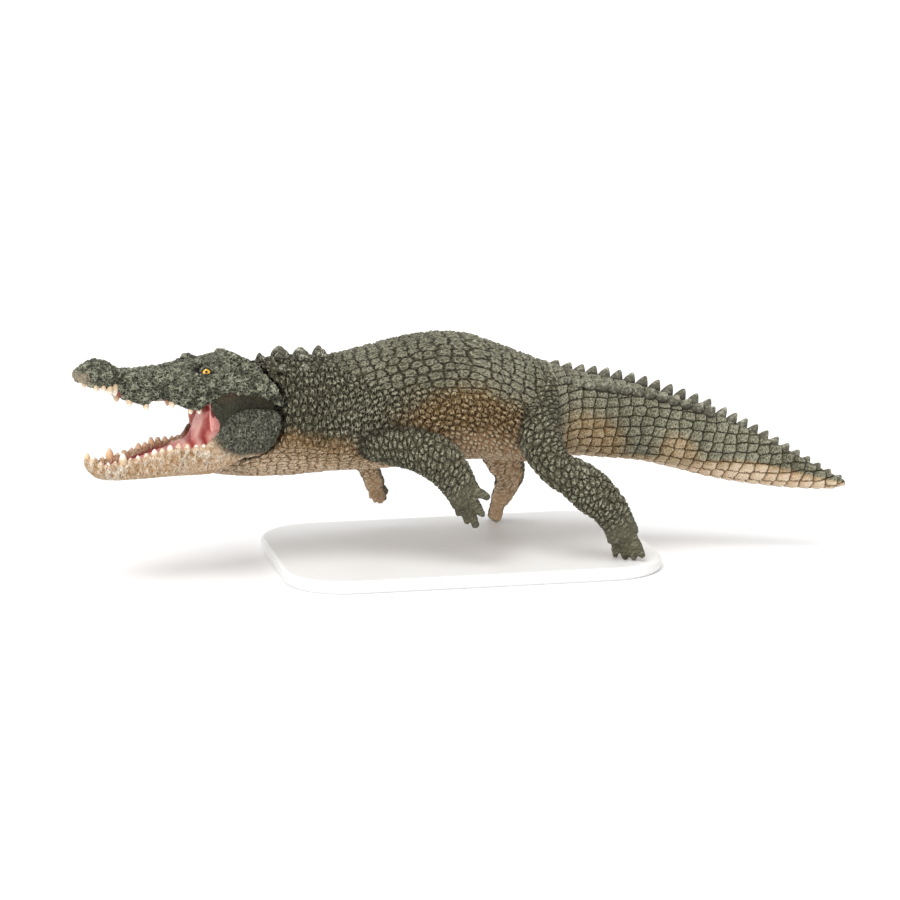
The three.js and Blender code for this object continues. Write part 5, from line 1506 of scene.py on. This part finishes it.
# %% [markdown]
# The eye is a small glossy ball behind dark lids: an orange iris with a black pupil and a thin dark edge.
# The rings follow the direction that the eye looks in, so each point of the ball stores how far it is turned
# from that direction, and a colour ramp paints the rings from that. The lids are a shell just outside the
# ball with an almond-shaped slit. Painting them on the ball would leave the slit without an edge.

# %% The paints of the eyes and lids
eye_paint, graph, shader = paint_material("painted_eye")
turned = graph.painted("turned")
threads = graph.noise(graph.node("ShaderNodeTexCoord", None, None, "Object"), 2500.0, 2.0)
rings = graph.node("ShaderNodeValToRGB", {"stops": [
    (0.0, (0.004, 0.004, 0.004)), (0.11, (0.004, 0.004, 0.004)), (0.135, (0.78, 0.36, 0.01)),
    (0.24, (0.90, 0.55, 0.03)), (0.36, (0.82, 0.36, 0.01)), (0.46, (0.03, 0.012, 0.004)),
]}, {"Fac": turned + (threads - 0.5) * 0.04})
coated(graph, shader, {"Base Color": rings, "Roughness": 0.15, "Coat Weight": 0.4})

lid_paint, graph, shader = paint_material("painted_lids")
wide_open = graph.painted("opening")
wrinkles = graph.noise(graph.node("ShaderNodeTexCoord", None, None, "Object"), 1900.0, 3.0, 0.6)
colour = graph.tint((0.080, 0.080, 0.053), (0.42, 0.43, 0.32), graph.smooth(wrinkles, 0.44, 0.66) * 0.75)
colour = graph.tint(colour, (0.012, 0.011, 0.006), graph.smooth(wrinkles, 0.44, 0.34) * 0.85)
colour = graph.tint(colour, (0.006, 0.005, 0.004), graph.smooth(wide_open, 0.35, 0.08))
coated(graph, shader, {"Base Color": colour, "Roughness": 0.5}, bump=(wrinkles, 0.8, 1.0))
print("paints:", eye_paint.name, lid_paint.name)

# %% The shell of the lids
BALL = EYE["radius"] + 0.05
LID_REACH = math.radians(66)  # of the shell
SLIT = math.radians(32), math.radians(27)  # half-length and half-height
LID_RINGS = [  # share of the way from the slit to the edge, and mm above the ball: first inside, then outside
    (1.0, 0.02), (0.5, 0.03), (0.0, 0.04), (-0.05, 0.14), (0.02, 0.24), (0.12, 0.28), (0.3, 0.24), (0.55, 0.2),
    (1.0, 0.1),
]


def lid_shell(forward, level, upward):
    """A closed shell round the ball with an almond slit: points, faces, and how far each point is from the
    slit, as a share of the way to the edge."""
    turn = np.linspace(0, 2 * np.pi, 64, endpoint=False)
    slit = 1 / np.sqrt((np.cos(turn) / SLIT[0]) ** 2 + (np.sin(turn) / SLIT[1]) ** 2)
    slit = slit * (1 - 0.18 * np.abs(np.sin(2 * turn)))  # pinches the ellipse into an almond
    away = np.cos(turn)[:, None] * level + np.sin(turn)[:, None] * upward
    rings, opening = [], []
    for share, above in LID_RINGS:
        angle = slit + (LID_REACH - slit) * share
        rings.append((BALL + above) * (np.cos(angle)[:, None] * forward + np.sin(angle)[:, None] * away))
        opening.append(np.full(len(turn), max(share, 0.0)))
    points = np.array(rings)
    count, sides = points.shape[:2]
    index = np.arange(count * sides).reshape(count, sides)
    nxt, below = np.roll(index, -1, 1), np.roll(index, -1, 0)
    faces = np.stack([index, nxt, np.roll(nxt, -1, 0), below], -1).reshape(-1, 4).tolist()
    return points.reshape(-1, 3), faces, np.concatenate(opening)


print("lid rings", len(LID_RINGS))

# %% The eyes and lids
def ball(radius, segments, rings):
    """Points and faces of a ball: a tube over its rings, with a fan of triangles to each pole."""
    rise = np.linspace(-np.pi / 2, np.pi / 2, rings + 1)[1:-1, None]
    turn = np.linspace(0, 2 * np.pi, segments, endpoint=False)
    wide, high = radius * np.cos(rise), radius * np.sin(rise)
    belts = np.stack(np.broadcast_arrays(wide * np.cos(turn), wide * np.sin(turn), high), -1)
    points, (*faces, bottom, top) = tube(belts)
    for pole, cap in enumerate((bottom, top), len(points)):
        faces += [[a, b, pole] for a, b in zip(cap, cap[1:] + cap[:1])]
    return np.vstack([points, [[0, 0, -radius], [0, 0, radius]]]), faces


ball_points, ball_faces = ball(BALL, 48, 32)
for side, name in ((-1, "eye_left"), (1, "eye_right")):
    gaze = EYE_GAZE * [1, side, 1]
    turned = np.arccos(np.clip(ball_points @ gaze / BALL, -1, 1)) / (math.pi / 2)
    middle = np.array([EYE["x"], side * EYE["y"], EYE["z"]])
    eye = mesh_object(name + "_ball", from_head(ball_points + middle), ball_faces)
    paint_on(eye, "turned", turned)
    eye.data.shade_smooth()
    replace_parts(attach(wear(eye, eye_paint), "figure"), name)

    level = np.cross([0, 0, 1.0], gaze) * side
    level = level / np.linalg.norm(level) - [0, 0, 0.08]
    level -= gaze * (level @ gaze)
    level /= np.linalg.norm(level)
    upward = np.cross(gaze, level) * side
    shell_points, shell_faces, opening = lid_shell(gaze, level, upward)
    lid = mesh_object(name + "_lids", from_head(shell_points + middle), shell_faces)
    form = bmesh.new()
    form.from_mesh(lid.data)
    bmesh.ops.recalc_face_normals(form, faces=form.faces)
    form.to_mesh(lid.data)
    form.free()
    paint_on(lid, "opening", opening)
    lid.data.shade_smooth()
    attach(wear(lid, lid_paint), "figure")
    print(eye.name, "at", middle.round(1), "lids", len(lid.data.polygons), "faces")

# %% [markdown]
# The display base is a plain slab of off-white plastic with a softly rounded top edge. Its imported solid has
# the right shape, so it stays, with a satin material that has a faint grain of moulding.

# %% The display base
base_plastic, graph, shader = paint_material("satin_base")
place = graph.node("ShaderNodeTexCoord", None, None, "Object")
grain = graph.noise(place, 1800.0, 3.0, 0.6)
cloud = graph.noise(place, 30.0, 2.0)
colour = graph.tint((0.80, 0.80, 0.795), (0.86, 0.86, 0.855), cloud)
coated(graph, shader, {"Base Color": colour, "Roughness": graph.smooth(grain, 0.2, 0.8, 0.42, 0.52)},
       bump=(grain, 0.05, 0.35))
wear(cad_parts["stand_base"], base_plastic)
print("base", [round(v / MM, 1) for v in base_high - base_low], "mm")

# %% [markdown]
# Last, each piece is hung on the body that it moves with, and the imported solids that it stands for are
# hidden.

# %% Riding and replacing
FLESH = [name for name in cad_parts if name.startswith(
    ("neck", "trunk", "tail_", "upper_arm", "forearm", "hand", "thigh", "shank", "foot"))]
for piece, body, nodes, finish in (
        (body_skin, "figure", FLESH, "hide"), (skull, "figure", ["head"], "hide"),
        (jaw, "jaw", ["lower_jaw"], "jaw_hide"), (tongue, "jaw", ["tongue"], "mouth"),
        (folds, "figure", [], "mouth")):
    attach(piece, body)
    if nodes:
        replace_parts(piece, *nodes)
    print(piece.name, "rides on", body, "and replaces", len(nodes), "solids")
